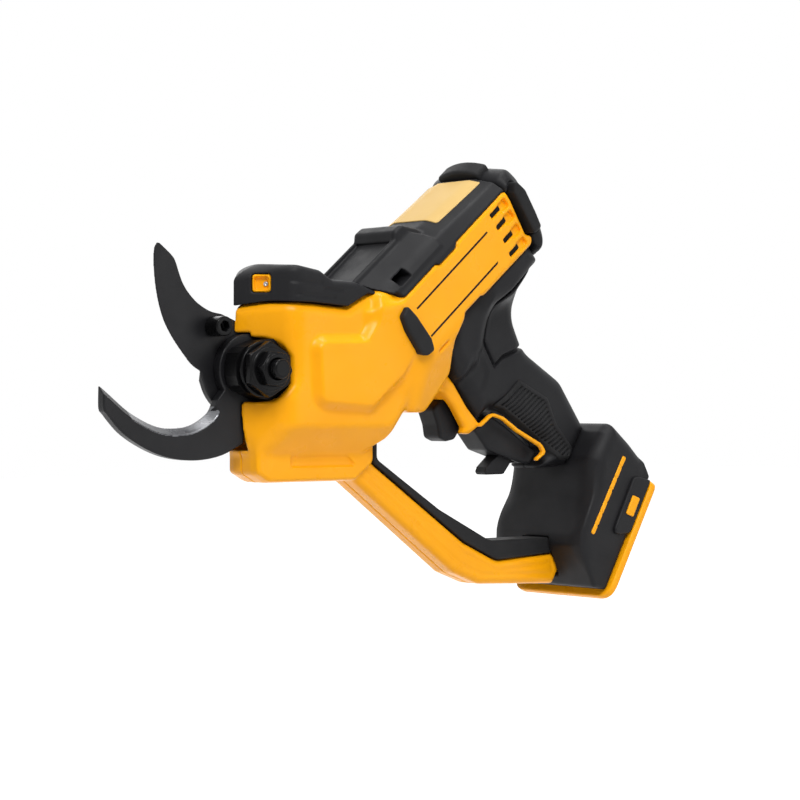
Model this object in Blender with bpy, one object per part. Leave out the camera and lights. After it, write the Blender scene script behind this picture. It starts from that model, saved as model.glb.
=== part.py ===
"""Battery pruner: a hand-held pruning shear driven by a motor, without its battery.

Sizes are in millimetres and turn into metres where a mesh is made. X runs from the jaws (-X) to
the heel of the battery foot (+X), Y runs from the left side (-Y) to the right side (+Y) and Z is
up. The origin is the middle of the hand grip, where the palm holds the tool.
"""

from math import acos, atan2, cos, hypot, pi, radians, sin, sqrt, tan

import bmesh
import bpy
from mathutils import Matrix, Vector

MM = 0.001

# Fits between pieces
GAP = 0.3
SLIDE_GAP = 0.6
WALL = 2.6
SMOOTH_TURN = radians(32.0)

# Blade pivot and drive
PIVOT_X = -180.0
PIVOT_Z = 16.0
GEAR_CENTRES = 64.0
PINION_TEETH = 19
SECTOR_TEETH = 45
SECTOR_REACH = GEAR_CENTRES * SECTOR_TEETH / (PINION_TEETH + SECTOR_TEETH) + 2.6
BOLT_RADIUS = 5.0
BOLT_BORE = 5.3
WASHER_RADIUS = 15.0
MOTOR_TILT = radians(41.0)

# Jaws
BLADE_OPEN = radians(129.4)
CUTTING_LENGTH = 79.0
COUNTER_LENGTH = 84.0
CUTTING_THICK = 4.0
COUNTER_THICK = 5.4
JAW_HUB = 24.0
BLADE_BEVEL = 5.0
COUNTER_BEVEL = 3.4

# Head of the housing
HEAD_HALF = 25.0
HEAD_ROUND = 5.0
NOSE_LEAD = 8.0
NOSE_X = PIVOT_X - NOSE_LEAD
HEAD_TOP = 49.0
CAP_TOP = 69.0
HEAD_FLOOR = -28.0
HEAD_WAIST = -12.0
FLOOR_HALF = 12.0
KEEL_FLOOR = -39.5
KEEL_SETBACK = 4.0
KEEL_X = PIVOT_X + KEEL_SETBACK
TIP_LEAD = 5.5
NOSE_TIP = PIVOT_X - TIP_LEAD
NOSE_SWEEP = 0.81
CHIN_SETBACK = 10.0
CHIN_X = PIVOT_X + CHIN_SETBACK
PAD_RISE = 2.4

# Motor barrel, measured along and across the motor shaft from the pinion
BARREL_HALF = 31.5
BARREL_RADIUS = 32.0
PANEL_TOP = 18.0
PANEL_LOW = -15.7
BARREL_END = 123.0
CAP_LENGTH = 20.0
CAP_END = BARREL_END + CAP_LENGTH
HUMP_RISE = 39.0
MOTOR_ROOM = 7.5
MOTOR_RADIUS = BARREL_HALF - MOTOR_ROOM
MOTOR_FRONT = 44.0
MOTOR_REAR = 98.0
CASE_END = 27.0

# Grip and triggers
GRIP_HALF = 17.0
GRIP_ROUND = 7.0
BRIDGE_HALF = 15.5
TRIGGER_HALF = 9.0
TRIGGER_TRAVEL = 5.0
CATCH_HALF = 4.5
CATCH_TURN = radians(12.0)

# Guard bar
GUARD_HALF = 10.0
GUARD_ROUND = 3.0
LINING = 2.6

# Battery foot, measured along and out of its sole
FOOT_TILT = radians(61.0)
SOLE = 83.2
BASE_HALF = 38.5
BASE_REVEAL = 2.5
FOOT_HALF = BASE_HALF - BASE_REVEAL
BASE_THICK = 4.2
FOOT_FRONT = -76.0
FOOT_REAR = -5.0
CHANNEL_HALF = 28.0
RAIL_LIP = 4.0
CHANNEL_DEPTH = 15.0

# Fasteners
SCREW_RADIUS = 3.0
SCREW_RECESS = 3.5


def clear_scene():
    for item in list(bpy.data.objects):
        bpy.data.objects.remove(item, do_unlink=True)


def paint(name, colour, rough, metal=0.0):
    material = bpy.data.materials.new(name)
    material.use_nodes = True
    shader = material.node_tree.nodes["Principled BSDF"]
    shader.inputs["Base Color"].default_value = (*colour, 1.0)
    shader.inputs["Roughness"].default_value = rough
    shader.inputs["Metallic"].default_value = metal
    return material


def along_motor(q, e):
    """Side-view point q along the motor shaft from the pinion and e across it."""
    px = PIVOT_X + GEAR_CENTRES
    x = px + q * cos(MOTOR_TILT) - e * sin(MOTOR_TILT)
    z = PIVOT_Z + q * sin(MOTOR_TILT) + e * cos(MOTOR_TILT)
    return x, z


def along_foot(u, v):
    """Side-view point u along the sole, rising to the heel, and v out of it."""
    x = u * cos(FOOT_TILT) + v * sin(FOOT_TILT)
    z = u * sin(FOOT_TILT) - v * cos(FOOT_TILT)
    return x, z


def rounded(corners, steps=2):
    """Outline with each corner (x, z, radius) turned into an arc."""
    outline = []
    count = len(corners)
    for index, (x, z, radius) in enumerate(corners):
        if radius <= 0.0:
            outline.append((x, z))
            continue
        before = Vector(corners[index - 1][:2])
        after = Vector(corners[(index + 1) % count][:2])
        here = Vector((x, z))
        back = (before - here).normalized()
        ahead = (after - here).normalized()
        turn = acos(max(-1.0, min(1.0, back.dot(ahead))))
        if turn > radians(172.0):
            outline.append((x, z))
            continue
        reach = min(radius / tan(turn / 2), 0.48 * (before - here).length, 0.48 * (after - here).length)
        true_radius = reach * tan(turn / 2)
        centre = here + (back + ahead).normalized() * (true_radius / sin(turn / 2))
        start = here + back * reach - centre
        end = here + ahead * reach - centre
        sweep = atan2(start.x * end.y - start.y * end.x, start.dot(end))
        for step in range(steps + 1):
            angle = sweep * step / steps
            px = start.x * cos(angle) - start.y * sin(angle)
            pz = start.x * sin(angle) + start.y * cos(angle)
            outline.append((centre.x + px, centre.y + pz))
    return outline


def area(outline):
    total = 0.0
    for (x0, z0), (x1, z1) in zip(outline, outline[1:] + outline[:1]):
        total += x0 * z1 - x1 * z0
    return total / 2


def inset(outline, depth):
    """Outline moved inward by depth, or outward for a depth below zero."""
    sign = 1.0 if area(outline) > 0 else -1.0
    here = [Vector(point) for point in outline]
    count = len(here)
    ways = [(here[(i + 1) % count] - here[i]).normalized() for i in range(count)]
    moved = []
    for index in range(count):
        before = next(ways[index - step] for step in range(1, count) if ways[index - step].length > 0.5)
        onward = [ways[(index + step) % count] for step in range(count)]
        after = next(way for way in onward if way.length > 0.5)
        normal_a = Vector((-before.y, before.x)) * sign
        normal_b = Vector((-after.y, after.x)) * sign
        stretch = max(0.35, 1.0 + normal_a.dot(normal_b))
        moved.append(here[index] + (normal_a + normal_b) * (depth / stretch))
    for _ in range(count):
        flipped = [i for i in range(count) if (moved[(i + 1) % count] - moved[i]).dot(ways[i]) < -1e-6]
        if not flipped:
            break
        for i in flipped:
            first = moved[i].copy()
            second = moved[(i + 1) % count].copy()
            middle = (first + second) / 2
            for j in range(count):
                if (moved[j] - first).length < 1e-5 or (moved[j] - second).length < 1e-5:
                    moved[j] = middle.copy()
    return [tuple(point) for point in moved]


def face_out(work):
    """Turn every face of a closed body outward."""
    bmesh.ops.recalc_face_normals(work, faces=work.faces)
    if work.calc_volume(signed=True) < 0.0:
        bmesh.ops.reverse_faces(work, faces=work.faces)


def mesh_object(name, verts, faces, material=None):
    mesh = bpy.data.meshes.new(name)
    mesh.from_pydata([Vector(v) * MM for v in verts], [], faces)
    work = bmesh.new()
    work.from_mesh(mesh)
    bmesh.ops.remove_doubles(work, verts=work.verts, dist=0.00001)
    bmesh.ops.connect_verts_nonplanar(work, angle_limit=radians(0.01), faces=work.faces)
    face_out(work)
    work.to_mesh(mesh)
    work.free()
    item = bpy.data.objects.new(name, mesh)
    bpy.context.scene.collection.objects.link(item)
    if material:
        mesh.materials.append(material)
    return item


def loft(name, loops, material=None):
    """Closed body through loops that have the same count of points."""
    verts = [point for loop in loops for point in loop]
    count = len(loops[0])
    faces = [tuple(range(count)), tuple(reversed(range(len(verts) - count, len(verts))))]
    for row in range(len(loops) - 1):
        for index in range(count):
            a = row * count + index
            b = row * count + (index + 1) % count
            faces.append((a, b, b + count, a + count))
    return mesh_object(name, verts, faces, material)


def slab(name, outline, y0, y1, material=None, round0=0.0, round1=0.0, steps=2):
    """Side-view outline carried across the tool, with rounded rims on either side."""
    way = 1.0 if y1 > y0 else -1.0
    loops = []
    if round0 > 0.0:
        for step in range(steps, 0, -1):
            angle = pi / 2 * step / steps
            rim = inset(outline, round0 * (1 - cos(angle)))
            y = y0 + way * round0 * (1 - sin(angle))
            loops.append([(x, y, z) for x, z in rim])
        loops.append([(x, y0 + way * round0, z) for x, z in outline])
    else:
        loops.append([(x, y0, z) for x, z in outline])
    if round1 > 0.0:
        loops.append([(x, y1 - way * round1, z) for x, z in outline])
        for step in range(1, steps + 1):
            angle = pi / 2 * step / steps
            rim = inset(outline, round1 * (1 - cos(angle)))
            y = y1 - way * round1 * (1 - sin(angle))
            loops.append([(x, y, z) for x, z in rim])
    else:
        loops.append([(x, y1, z) for x, z in outline])
    return loft(name, loops, material)


def disc(centre, radius, sides=24, phase=0.0):
    x, z = centre
    turn = 2 * pi / sides
    return [(x + radius * cos(turn * i + phase),
             z + radius * sin(turn * i + phase)) for i in range(sides)]


def boolean(item, other, operation="DIFFERENCE", keep=False):
    """Cut item with other, or join the two, and drop the tool."""
    modifier = item.modifiers.new("cut", "BOOLEAN")
    modifier.operation = operation
    modifier.solver = "EXACT"
    modifier.object = other
    graph = bpy.context.evaluated_depsgraph_get()
    result = bpy.data.meshes.new_from_object(item.evaluated_get(graph))
    item.modifiers.clear()
    work = bmesh.new()
    work.from_mesh(result)
    bmesh.ops.remove_doubles(work, verts=work.verts, dist=0.000004)
    bmesh.ops.dissolve_degenerate(work, edges=work.edges, dist=0.000004)
    work.to_mesh(result)
    work.free()
    item.data = result
    if not keep:
        bpy.data.objects.remove(other, do_unlink=True)
    return item


def tidy(item):
    """Melt flat facets and weld slivers, as far as the body stays closed."""
    for weld, melt in ((0.00003, 0.8), (0.00001, 0.8), (0.00001, 0.3), (0.000002, 0.0), (0.0, 0.0)):
        work = bmesh.new()
        work.from_mesh(item.data)
        if weld > 0.0:
            bmesh.ops.remove_doubles(work, verts=work.verts, dist=weld)
            bmesh.ops.dissolve_degenerate(work, edges=work.edges, dist=weld)
        if melt > 0.0:
            bmesh.ops.dissolve_limit(work, angle_limit=radians(melt), verts=work.verts, edges=work.edges)
        bmesh.ops.triangulate(work, faces=work.faces)
        closed = all(len(edge.link_faces) == 2 for edge in work.edges)
        if closed:
            break
        if (weld, melt) != (0.0, 0.0):
            work.free()
    face_out(work)
    work.to_mesh(item.data)
    work.free()
    return item


def mirrored(item, name):
    """Right-hand copy of a left-hand piece."""
    mesh = item.data.copy()
    mesh.transform(Matrix.Scale(-1.0, 4, (0.0, 1.0, 0.0)))
    mesh.flip_normals()
    copy = bpy.data.objects.new(name, mesh)
    bpy.context.scene.collection.objects.link(copy)
    return copy


def pivot_at(item, point):
    """Put the origin of a moving piece on its joint axis."""
    offset = Vector(point) * MM
    item.data.transform(Matrix.Translation(-offset))
    item.location = offset
    return item


def gear_outline(centre, teeth, module, backlash, first, last, phase, inner):
    """Involute-like spur outline for the teeth from first to last, on a hub of radius inner.

    A whole wheel has inner 0. A sector closes through its hub.
    """
    pitch = module * teeth / 2
    base = pitch * cos(radians(20.0))
    tip = pitch + 0.9 * module
    root = pitch - 1.2 * module
    half = (pi * module / 2 - backlash) / (2 * pitch)
    lean = sqrt((pitch / base) ** 2 - 1) - acos(base / pitch)
    points = []
    for tooth in range(first, last):
        middle = phase + 2 * pi * tooth / teeth
        flank = []
        for radius in (max(base, root), pitch, tip):
            roll = sqrt(max(0.0, (radius / base) ** 2 - 1))
            width = half + lean - (roll - atan2(roll, 1.0))
            flank.append((radius, width))
        low = flank[0][1]
        points.append((root, middle - low))
        points += [(radius, middle - width) for radius, width in flank]
        points += [(radius, middle + width) for radius, width in reversed(flank)]
        points.append((root, middle + low))
    if inner > 0.0:
        start = points[0][1]
        end = points[-1][1]
        middle = (start + end) / 2
        spread = (end - start) / 2 * 0.9
        for step in range(13):
            angle = middle + spread + (2 * pi - 2 * spread) * step / 12
            points.append((inner, angle))
    x, z = centre
    return [(x + radius * cos(angle), z + radius * sin(angle)) for radius, angle in points]


def arc(start, middle, end, steps):
    """Points on the circle through three points, from start to end."""
    (ax, az), (bx, bz), (cx, cz) = start, middle, end
    d = 2 * (ax * (bz - cz) + bx * (cz - az) + cx * (az - bz))
    ux = ((ax * ax + az * az) * (bz - cz) + (bx * bx + bz * bz) * (cz - az)
          + (cx * cx + cz * cz) * (az - bz)) / d
    uz = ((ax * ax + az * az) * (cx - bx) + (bx * bx + bz * bz) * (ax - cx)
          + (cx * cx + cz * cz) * (bx - ax)) / d
    radius = hypot(ax - ux, az - uz)
    first = atan2(az - uz, ax - ux)
    through = (atan2(bz - uz, bx - ux) - first) % (2 * pi)
    sweep = (atan2(cz - uz, cx - ux) - first) % (2 * pi)
    if through > sweep:
        sweep -= 2 * pi
    points = []
    for step in range(steps + 1):
        angle = first + sweep * step / steps
        points.append((ux + radius * cos(angle), uz + radius * sin(angle)))
    return points


def from_pivot(length, angle):
    return PIVOT_X + length * cos(angle), PIVOT_Z + length * sin(angle)


def head_outline():
    k_x, k_z = along_motor(0.0, 0.0)
    return rounded([
        (NOSE_X, HEAD_TOP - 2.5, 6.0), (NOSE_X, PIVOT_Z - 22.0, 8.0), (KEEL_X, HEAD_FLOOR, 6.0),
        (k_x - 2.0, HEAD_FLOOR, 4.0), (k_x + 11.0, PIVOT_Z - 35.0, 4.0), (k_x + 22.0, k_z - 20.0, 5.0),
        along_motor(38.0, -8.0) + (2.0,), along_motor(36.0, 15.0) + (2.0,),
        along_motor(27.5, 26.5) + (4.0,), along_motor(19.0, 34.0) + (3.0,),
        (CHIN_X + 36.0, HEAD_TOP - 1.7, 3.0), (CHIN_X - 4.0, HEAD_TOP + 1.0, 20.0),
    ])


def barrel_outline():
    k_x, k_z = along_motor(0.0, 0.0)
    return rounded([
        along_motor(30.0, PANEL_TOP) + (2.0,), along_motor(BARREL_END, PANEL_TOP) + (5.0,),
        along_motor(BARREL_END - 1.5, PANEL_LOW) + (6.0,), along_motor(84.0, PANEL_LOW) + (3.0,),
        (k_x + 54.0, k_z + 28.0, 6.0), (k_x + 50.0, k_z + 12.0, 8.0), (k_x + 53.0, k_z - 3.0, 6.0),
        (k_x + 43.0, k_z - 16.0, 5.0), (k_x + 36.0, k_z - 21.5, 6.0), (k_x + 24.0, k_z - 21.5, 4.0),
        (k_x + 19.5, k_z - 12.0, 3.0), (k_x + 8.0, k_z + 6.0, 4.0),
    ])


def bridge_outline():
    k_x, k_z = along_motor(0.0, 0.0)
    return rounded([
        (k_x + 46.0, k_z + 8.0, 3.0), (k_x + 57.5, k_z - 6.0, 5.0), (k_x + 76.5, k_z - 26.0, 2.0),
        (k_x + 71.5, k_z - 33.0, 3.0), (k_x + 63.5, k_z - 31.0, 3.0), (k_x + 50.0, k_z - 12.0, 4.0),
        (k_x + 40.0, k_z - 12.0, 2.0),
    ])


def trim_outline():
    """Thin yellow edge that runs down the front of the grip beside the lower trigger."""
    k_x, k_z = along_motor(0.0, 0.0)
    run = [(k_x + 75.0, k_z - 27.0), (k_x + 86.5, k_z - 22.4), (k_x + 93.0, k_z - 23.6),
           (k_x + 103.0, k_z - 30.5), (k_x + 121.0, k_z - 39.3), (k_x + 124.5, k_z - 43.0),
           (k_x + 118.0, k_z - 47.5)]
    width = 2.6
    back = [(x - 0.55 * width, z - 0.83 * width) for x, z in run[:-2]]
    back += [(run[-2][0] - width, run[-2][1] + 0.1), (run[-1][0] - 0.4, run[-1][1] + width)]
    return run + back[::-1]


def guard_outline():
    k_x, k_z = along_motor(0.0, 0.0)
    toe_x, toe_z = along_foot(FOOT_FRONT, SOLE - BASE_THICK)
    return rounded([
        (k_x + 10.0, PIVOT_Z - 38.0, 0.0), (k_x + 10.0, PIVOT_Z - 47.0, 5.0),
        (toe_x - 66.0, toe_z + 24.0, 12.0), (toe_x - 10.0, toe_z + 19.5, 0.0),
        (toe_x - 8.5, toe_z + 10.0, 1.0),
        (toe_x - 10.0, toe_z + 5.0, 2.0), (toe_x - 56.0, toe_z + 7.5, 12.0),
        (toe_x - 74.0, toe_z + 14.0, 10.0),
        (k_x - 2.0, KEEL_FLOOR, 6.0), (KEEL_X + 7.0, KEEL_FLOOR, 4.0), (KEEL_X, KEEL_FLOOR + 4.5, 4.0),
        (KEEL_X, HEAD_FLOOR + 6.0, 0.0),
    ])


def lining_outline():
    k_x, _ = along_motor(0.0, 0.0)
    toe_x, toe_z = along_foot(FOOT_FRONT, SOLE - BASE_THICK)
    edge = [(k_x + 10.0, PIVOT_Z - 35.0), (k_x + 10.0, PIVOT_Z - 47.0), (toe_x - 66.0, toe_z + 24.0),
            (toe_x - 11.0, toe_z + 19.5)]
    low = rounded([(x + 0.24, z + 0.3, r) for (x, z), r in zip(edge, (0.0, 5.0, 12.0, 0.0))])
    high = rounded([
        (edge[0][0] + LINING + 0.3, edge[0][1], 0.0), (edge[1][0] + LINING + 0.3, edge[1][1] + 1.6, 4.0),
        (edge[2][0] + 4.5, edge[2][1] + 4.0, 10.0), (edge[3][0], edge[3][1] + 6.0, 0.0),
    ])
    return low + high[::-1]


def grip_outline():
    k_x, k_z = along_motor(0.0, 0.0)
    return rounded([
        along_motor(82.0, -12.0) + (0.0,), (k_x + 52.0, k_z + 29.0, 6.0), (k_x + 50.5, k_z + 12.0, 8.0),
        (k_x + 58.0, k_z - 6.0, 6.0), (k_x + 77.0, k_z - 25.7, 2.0), (k_x + 86.5, k_z - 20.0, 4.0),
        (k_x + 93.0, k_z - 21.2, 3.0), (k_x + 121.5, k_z - 36.8, 3.0), (k_x + 127.5, k_z - 43.5, 3.0),
        (k_x + 124.0, k_z - 50.0, 3.0), (k_x + 140.0, k_z - 60.0, 4.0), (k_x + 158.5, k_z - 31.0, 6.0),
        (k_x + 138.0, k_z - 4.5, 14.0), (k_x + 111.0, k_z + 12.0, 22.0), (k_x + 102.5, k_z + 30.0, 16.0),
        (k_x + 108.0, k_z + 46.0, 8.0), along_motor(122.5, -30.0) + (6.0,),
        along_motor(122.5, -12.0) + (0.0,),
    ])


def belly_outline():
    return rounded([
        along_motor(80.0, -14.0) + (0.0,), along_motor(78.0, -26.0) + (4.0,),
        along_motor(96.0, -33.0) + (8.0,),
        along_motor(122.5, -29.0) + (4.0,), along_motor(122.5, -14.0) + (0.0,),
    ])


def foot_outline():
    return rounded([
        (42.0, -11.0, 2.0), along_foot(-1.0, 68.0) + (8.0,),
        along_foot(FOOT_REAR - 1.0, SOLE - BASE_THICK - GAP) + (1.0,),
        along_foot(FOOT_FRONT + 4.0, SOLE - BASE_THICK - GAP) + (1.0,),
        along_foot(FOOT_FRONT + 2.0, SOLE - BASE_THICK - 8.0) + (3.0,), (15.5, -76.0, 8.0),
        (17.0, -66.0, 14.0),
        (33.0, -37.0, 8.0), (40.0, -17.0, 4.0),
    ])


def channel_cut(name, half, depth, out):
    """Opening that takes the slide-on battery: it runs out at the heel."""
    low = along_foot(FOOT_FRONT + 10.0, SOLE - depth)
    high = along_foot(FOOT_REAR + 30.0, SOLE - depth)
    far = along_foot(FOOT_REAR + 30.0, SOLE + out)
    near = along_foot(FOOT_FRONT + 10.0, SOLE + out)
    return slab(name, [low, high, far, near], -half, half)


def sweep_nose(item, side, depth):
    """Cut the nose back along a swept plane on one side, moved inward by depth."""
    tip = NOSE_TIP + depth * hypot(1.0, NOSE_SWEEP)
    reach = 2.0 * HEAD_HALF
    plan = [(tip - 2.0 * NOSE_SWEEP, -2.0 * side), (tip + reach * NOSE_SWEEP, reach * side),
            (NOSE_X - reach, reach * side), (NOSE_X - reach, -2.0 * side)]
    loops = [[(x, y, z) for x, y in plan] for z in (KEEL_FLOOR - 20.0, CAP_TOP + 20.0)]
    return boolean(item, loft("sweep", loops))


def bevel_floor(item, side, depth):
    """Cut the lower edge of the head away along a slanted plane, moved inward by depth."""
    run = Vector((HEAD_HALF - FLOOR_HALF, HEAD_WAIST - HEAD_FLOOR)).normalized()
    waist = Vector((HEAD_HALF - depth * run.y, HEAD_WAIST + depth * run.x))
    high = waist + run * HEAD_HALF
    low = waist - run * HEAD_HALF * 1.15
    section = [tuple(high), tuple(low), (low.x, KEEL_FLOOR - 20.0), (high.x, KEEL_FLOOR - 20.0)]
    loops = [[(x, side * y, z) for y, z in section] for x in (NOSE_X - 20.0, PIVOT_X + 100.0)]
    return boolean(item, loft("bevel", loops))


def shell_half(name, lobes, material):
    """Left half of a hollow moulding: every lobe is (outline, half width, rim radius, shaping)."""
    body = None
    for index, (outline, half, rim, shaping) in enumerate(lobes):
        outside = slab(f"{name}_{index}", outline, -GAP / 2, -half, round1=rim)
        for shape in shaping:
            shape(outside, -1, 0.0)
        body = outside if body is None else boolean(body, outside, "UNION")
    for index, (outline, half, rim, shaping) in enumerate(lobes):
        room = inset(outline, WALL)
        core = slab(f"{name}_core", room, 2.0 + index, -half + WALL, round1=max(0.5, rim - WALL))
        for shape in shaping:
            shape(core, -1, WALL)
        boolean(body, core)
    body.name = name
    body.data.materials.clear()
    body.data.materials.append(material)
    return body


def yellow_lobes(grow=0.0):
    lobes = [
        (head_outline(), HEAD_HALF, HEAD_ROUND, (sweep_nose, bevel_floor)),
        (barrel_outline(), BARREL_HALF, 3.0, ()), (bridge_outline(), BRIDGE_HALF, 3.0, ()),
        (guard_outline(), GUARD_HALF, GUARD_ROUND, ()),
    ]
    return [(inset(outline, -grow) if grow else outline, half + grow, rim, shaping)
            for outline, half, rim, shaping in lobes]


def cut_clear(item, grow, halves=(-1, 1)):
    """Keep a neighbour clear of the yellow housing by cutting it with the swollen housing."""
    for side in halves:
        for index, (outline, half, rim, _) in enumerate(yellow_lobes(grow)):
            tool = slab(f"clear_{index}", outline, side * -1.0, side * half, round1=rim)
            boolean(item, tool)
    return item


def motor_bay(item):
    """Round room for the motor, from the gear case to the rear cap."""
    section = disc((0.0, 0.0), MOTOR_RADIUS + SLIDE_GAP, 24)
    loops = [along_motor_loop(q, section) for q in (CASE_END - 0.5, BARREL_END - 1.0)]
    boolean(item, loft("motor_bay", loops))
    return item


def build_housing(paints):
    """Yellow clamshell halves with jaw slot, nut cut-out, vents and trigger pockets."""
    left = shell_half("left_housing", yellow_lobes(), paints["yellow"])
    boolean(left, slab("trim", trim_outline(), -GAP / 2, -BRIDGE_HALF), "UNION")
    pad = rounded([(PIVOT_X + 29.0, PIVOT_Z + 12.0, 4.0), (PIVOT_X + 33.0, PIVOT_Z - 15.0, 4.0),
                   (PIVOT_X + 64.0, PIVOT_Z - 15.0, 4.0), along_motor(16.0, -20.0) + (4.0,),
                   along_motor(24.0, 8.0) + (5.0,), (PIVOT_X + 74.0, PIVOT_Z + 16.0, 4.0)])
    boolean(left, slab("pad", pad, -HEAD_HALF + 1.0, -HEAD_HALF - PAD_RISE, round1=2.0), "UNION")
    nut_cut = rounded([(NOSE_X - 9.0, PIVOT_Z + 15.8, 0.0), (NOSE_X - 9.0, PIVOT_Z - 15.8, 0.0),
                       (PIVOT_X + 4.0, PIVOT_Z - 15.8, 6.0), (PIVOT_X + 13.0, PIVOT_Z - 7.0, 5.0),
                       (PIVOT_X + 13.0, PIVOT_Z + 7.0, 5.0), (PIVOT_X + 4.0, PIVOT_Z + 15.8, 6.0)])
    boolean(left, slab("nut_cut", nut_cut, 5.0, -HEAD_HALF - 9.0))
    seat_half = WASHER_RADIUS + 0.9
    nut_seat = [(NOSE_X - 9.0, PIVOT_Z + seat_half), (NOSE_X - 9.0, PIVOT_Z - seat_half),
                (PIVOT_X + 10.0, PIVOT_Z - seat_half), (PIVOT_X + seat_half, PIVOT_Z - 9.0),
                (PIVOT_X + seat_half, PIVOT_Z + 9.0), (PIVOT_X + 10.0, PIVOT_Z + seat_half)]
    boolean(left, slab("nut_seat", nut_seat, 5.0, -19.3))
    top_cut = [(NOSE_X + 17.0, HEAD_TOP - 6.0), (CHIN_X + 34.0, HEAD_TOP - 6.0),
               (CHIN_X + 34.0, HEAD_TOP + 9.0), (NOSE_X + 17.0, HEAD_TOP + 9.0)]
    boolean(left, slab("top_cut", top_cut, 5.0, -13.0))
    for row in range(4):
        e = 12.6 - 8.6 * row
        q = 110.3 - 1.0 * row
        slot = [along_motor(q - 4.6, e - 1.2), along_motor(q + 4.6, e - 1.2),
                along_motor(q + 4.6, e + 1.2), along_motor(q - 4.6, e + 1.2)]
        boolean(left, slab("vent", slot, -BARREL_HALF + 6.0, -BARREL_HALF - 3.0))
    for outline in (swept(upper_trigger_outline()), swept(lower_trigger_outline())):
        boolean(left, slab("pocket", inset(outline, -SLIDE_GAP), 5.0, -TRIGGER_HALF - SLIDE_GAP))
    motor_bay(left)
    boolean(left, channel_cut("channel", CHANNEL_HALF, CHANNEL_DEPTH, 20.0))
    right = mirrored(left, "right_housing")
    for half, top, y0, y1 in ((left, 22.2, 5.0, -COUNTER_THICK - 0.8), (right, 26.9, -5.0, 11.2)):
        slot = [(NOSE_X - 9.0, HEAD_FLOOR + 4.0), (PIVOT_X + 12.0, HEAD_FLOOR + 4.0),
                (PIVOT_X + 12.0, PIVOT_Z + top), (NOSE_X - 9.0, PIVOT_Z + top)]
        boolean(half, slab("slot", slot, y0, y1))
    sector_room = [from_pivot(4.0, radians(180.0))]
    sector_room += [from_pivot(SECTOR_REACH, radians(angle)) for angle in range(-66, 72, 6)]
    boolean(right, slab("sector_room", sector_room, -5.0, 11.2))
    for x, z in screw_places():
        boolean(right, slab("hole", disc((x, z), SCREW_RECESS, 12), 15.0, 60.0))
    tidy(left)
    tidy(right)


def screw_places():
    return [along_motor(70.0, 0.0), along_motor(112.0 - 60.0, -6.0), (PIVOT_X + 36.0, PIVOT_Z - 22.0),
            (PIVOT_X + 50.0, PIVOT_Z + 22.0)]


def turn_of(a, b, c):
    return (b[0] - a[0]) * (c[1] - a[1]) - (b[1] - a[1]) * (c[0] - a[0])


def upper_trigger_outline():
    k_x, k_z = along_motor(0.0, 0.0)
    return rounded([
        (k_x + 60.0, k_z - 12.5, 3.0), (k_x + 46.0, k_z - 22.0, 2.0), (k_x + 53.5, k_z - 36.0, 3.5),
        (k_x + 58.5, k_z - 37.8, 3.0), (k_x + 64.5, k_z - 37.0, 3.0), (k_x + 66.0, k_z - 33.0, 2.0),
        (k_x + 66.5, k_z - 20.0, 2.0),
    ])


def lower_trigger_outline():
    k_x, k_z = along_motor(0.0, 0.0)
    return rounded([
        (k_x + 78.5, k_z - 29.5, 2.0), (k_x + 88.0, k_z - 45.0, 3.0), (k_x + 104.0, k_z - 53.0, 3.0),
        (k_x + 118.0, k_z - 54.0, 3.0), (k_x + 121.5, k_z - 44.0, 2.0), (k_x + 104.0, k_z - 30.0, 2.0),
        (k_x + 91.5, k_z - 21.5, 3.0),
    ])


def catch_outline():
    """Lock lever in front of the lower trigger."""
    k_x, k_z = along_motor(0.0, 0.0)
    return rounded([
        (k_x + 95.0, k_z - 46.4, 1.0), (k_x + 82.5, k_z - 52.0, 2.0), (k_x + 82.0, k_z - 55.4, 1.5),
        (k_x + 96.0, k_z - 57.0, 3.0), (k_x + 104.0, k_z - 52.4, 1.0),
    ])


def catch_pivot():
    k_x, k_z = along_motor(0.0, 0.0)
    return (k_x + 100.5, k_z - 51.5)


def hull(points):
    """Convex outline round points."""
    points = sorted(set((round(x, 4), round(z, 4)) for x, z in points))
    rows = []
    for row in (points, points[::-1]):
        chain = []
        for point in row:
            while len(chain) > 1 and turn_of(chain[-2], chain[-1], point) <= 0:
                chain.pop()
            chain.append(point)
        rows += chain[:-1]
    return rows


def swept(outline):
    """Outline widened by the pull of a trigger along the motor shaft."""
    dx = TRIGGER_TRAVEL * cos(MOTOR_TILT)
    dz = TRIGGER_TRAVEL * sin(MOTOR_TILT)
    return hull(outline + [(x + dx, z + dz) for x, z in outline])


def swung(outline, pivot, turn):
    """Outline widened by a swing about pivot that lifts its front."""
    points = list(outline)
    for step in (0.5, 1.0):
        c = cos(turn * step)
        s = sin(turn * step)
        for x, z in outline:
            dx = x - pivot[0]
            dz = z - pivot[1]
            points.append((pivot[0] + dx * c + dz * s, pivot[1] - dx * s + dz * c))
    return hull(points)


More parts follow.
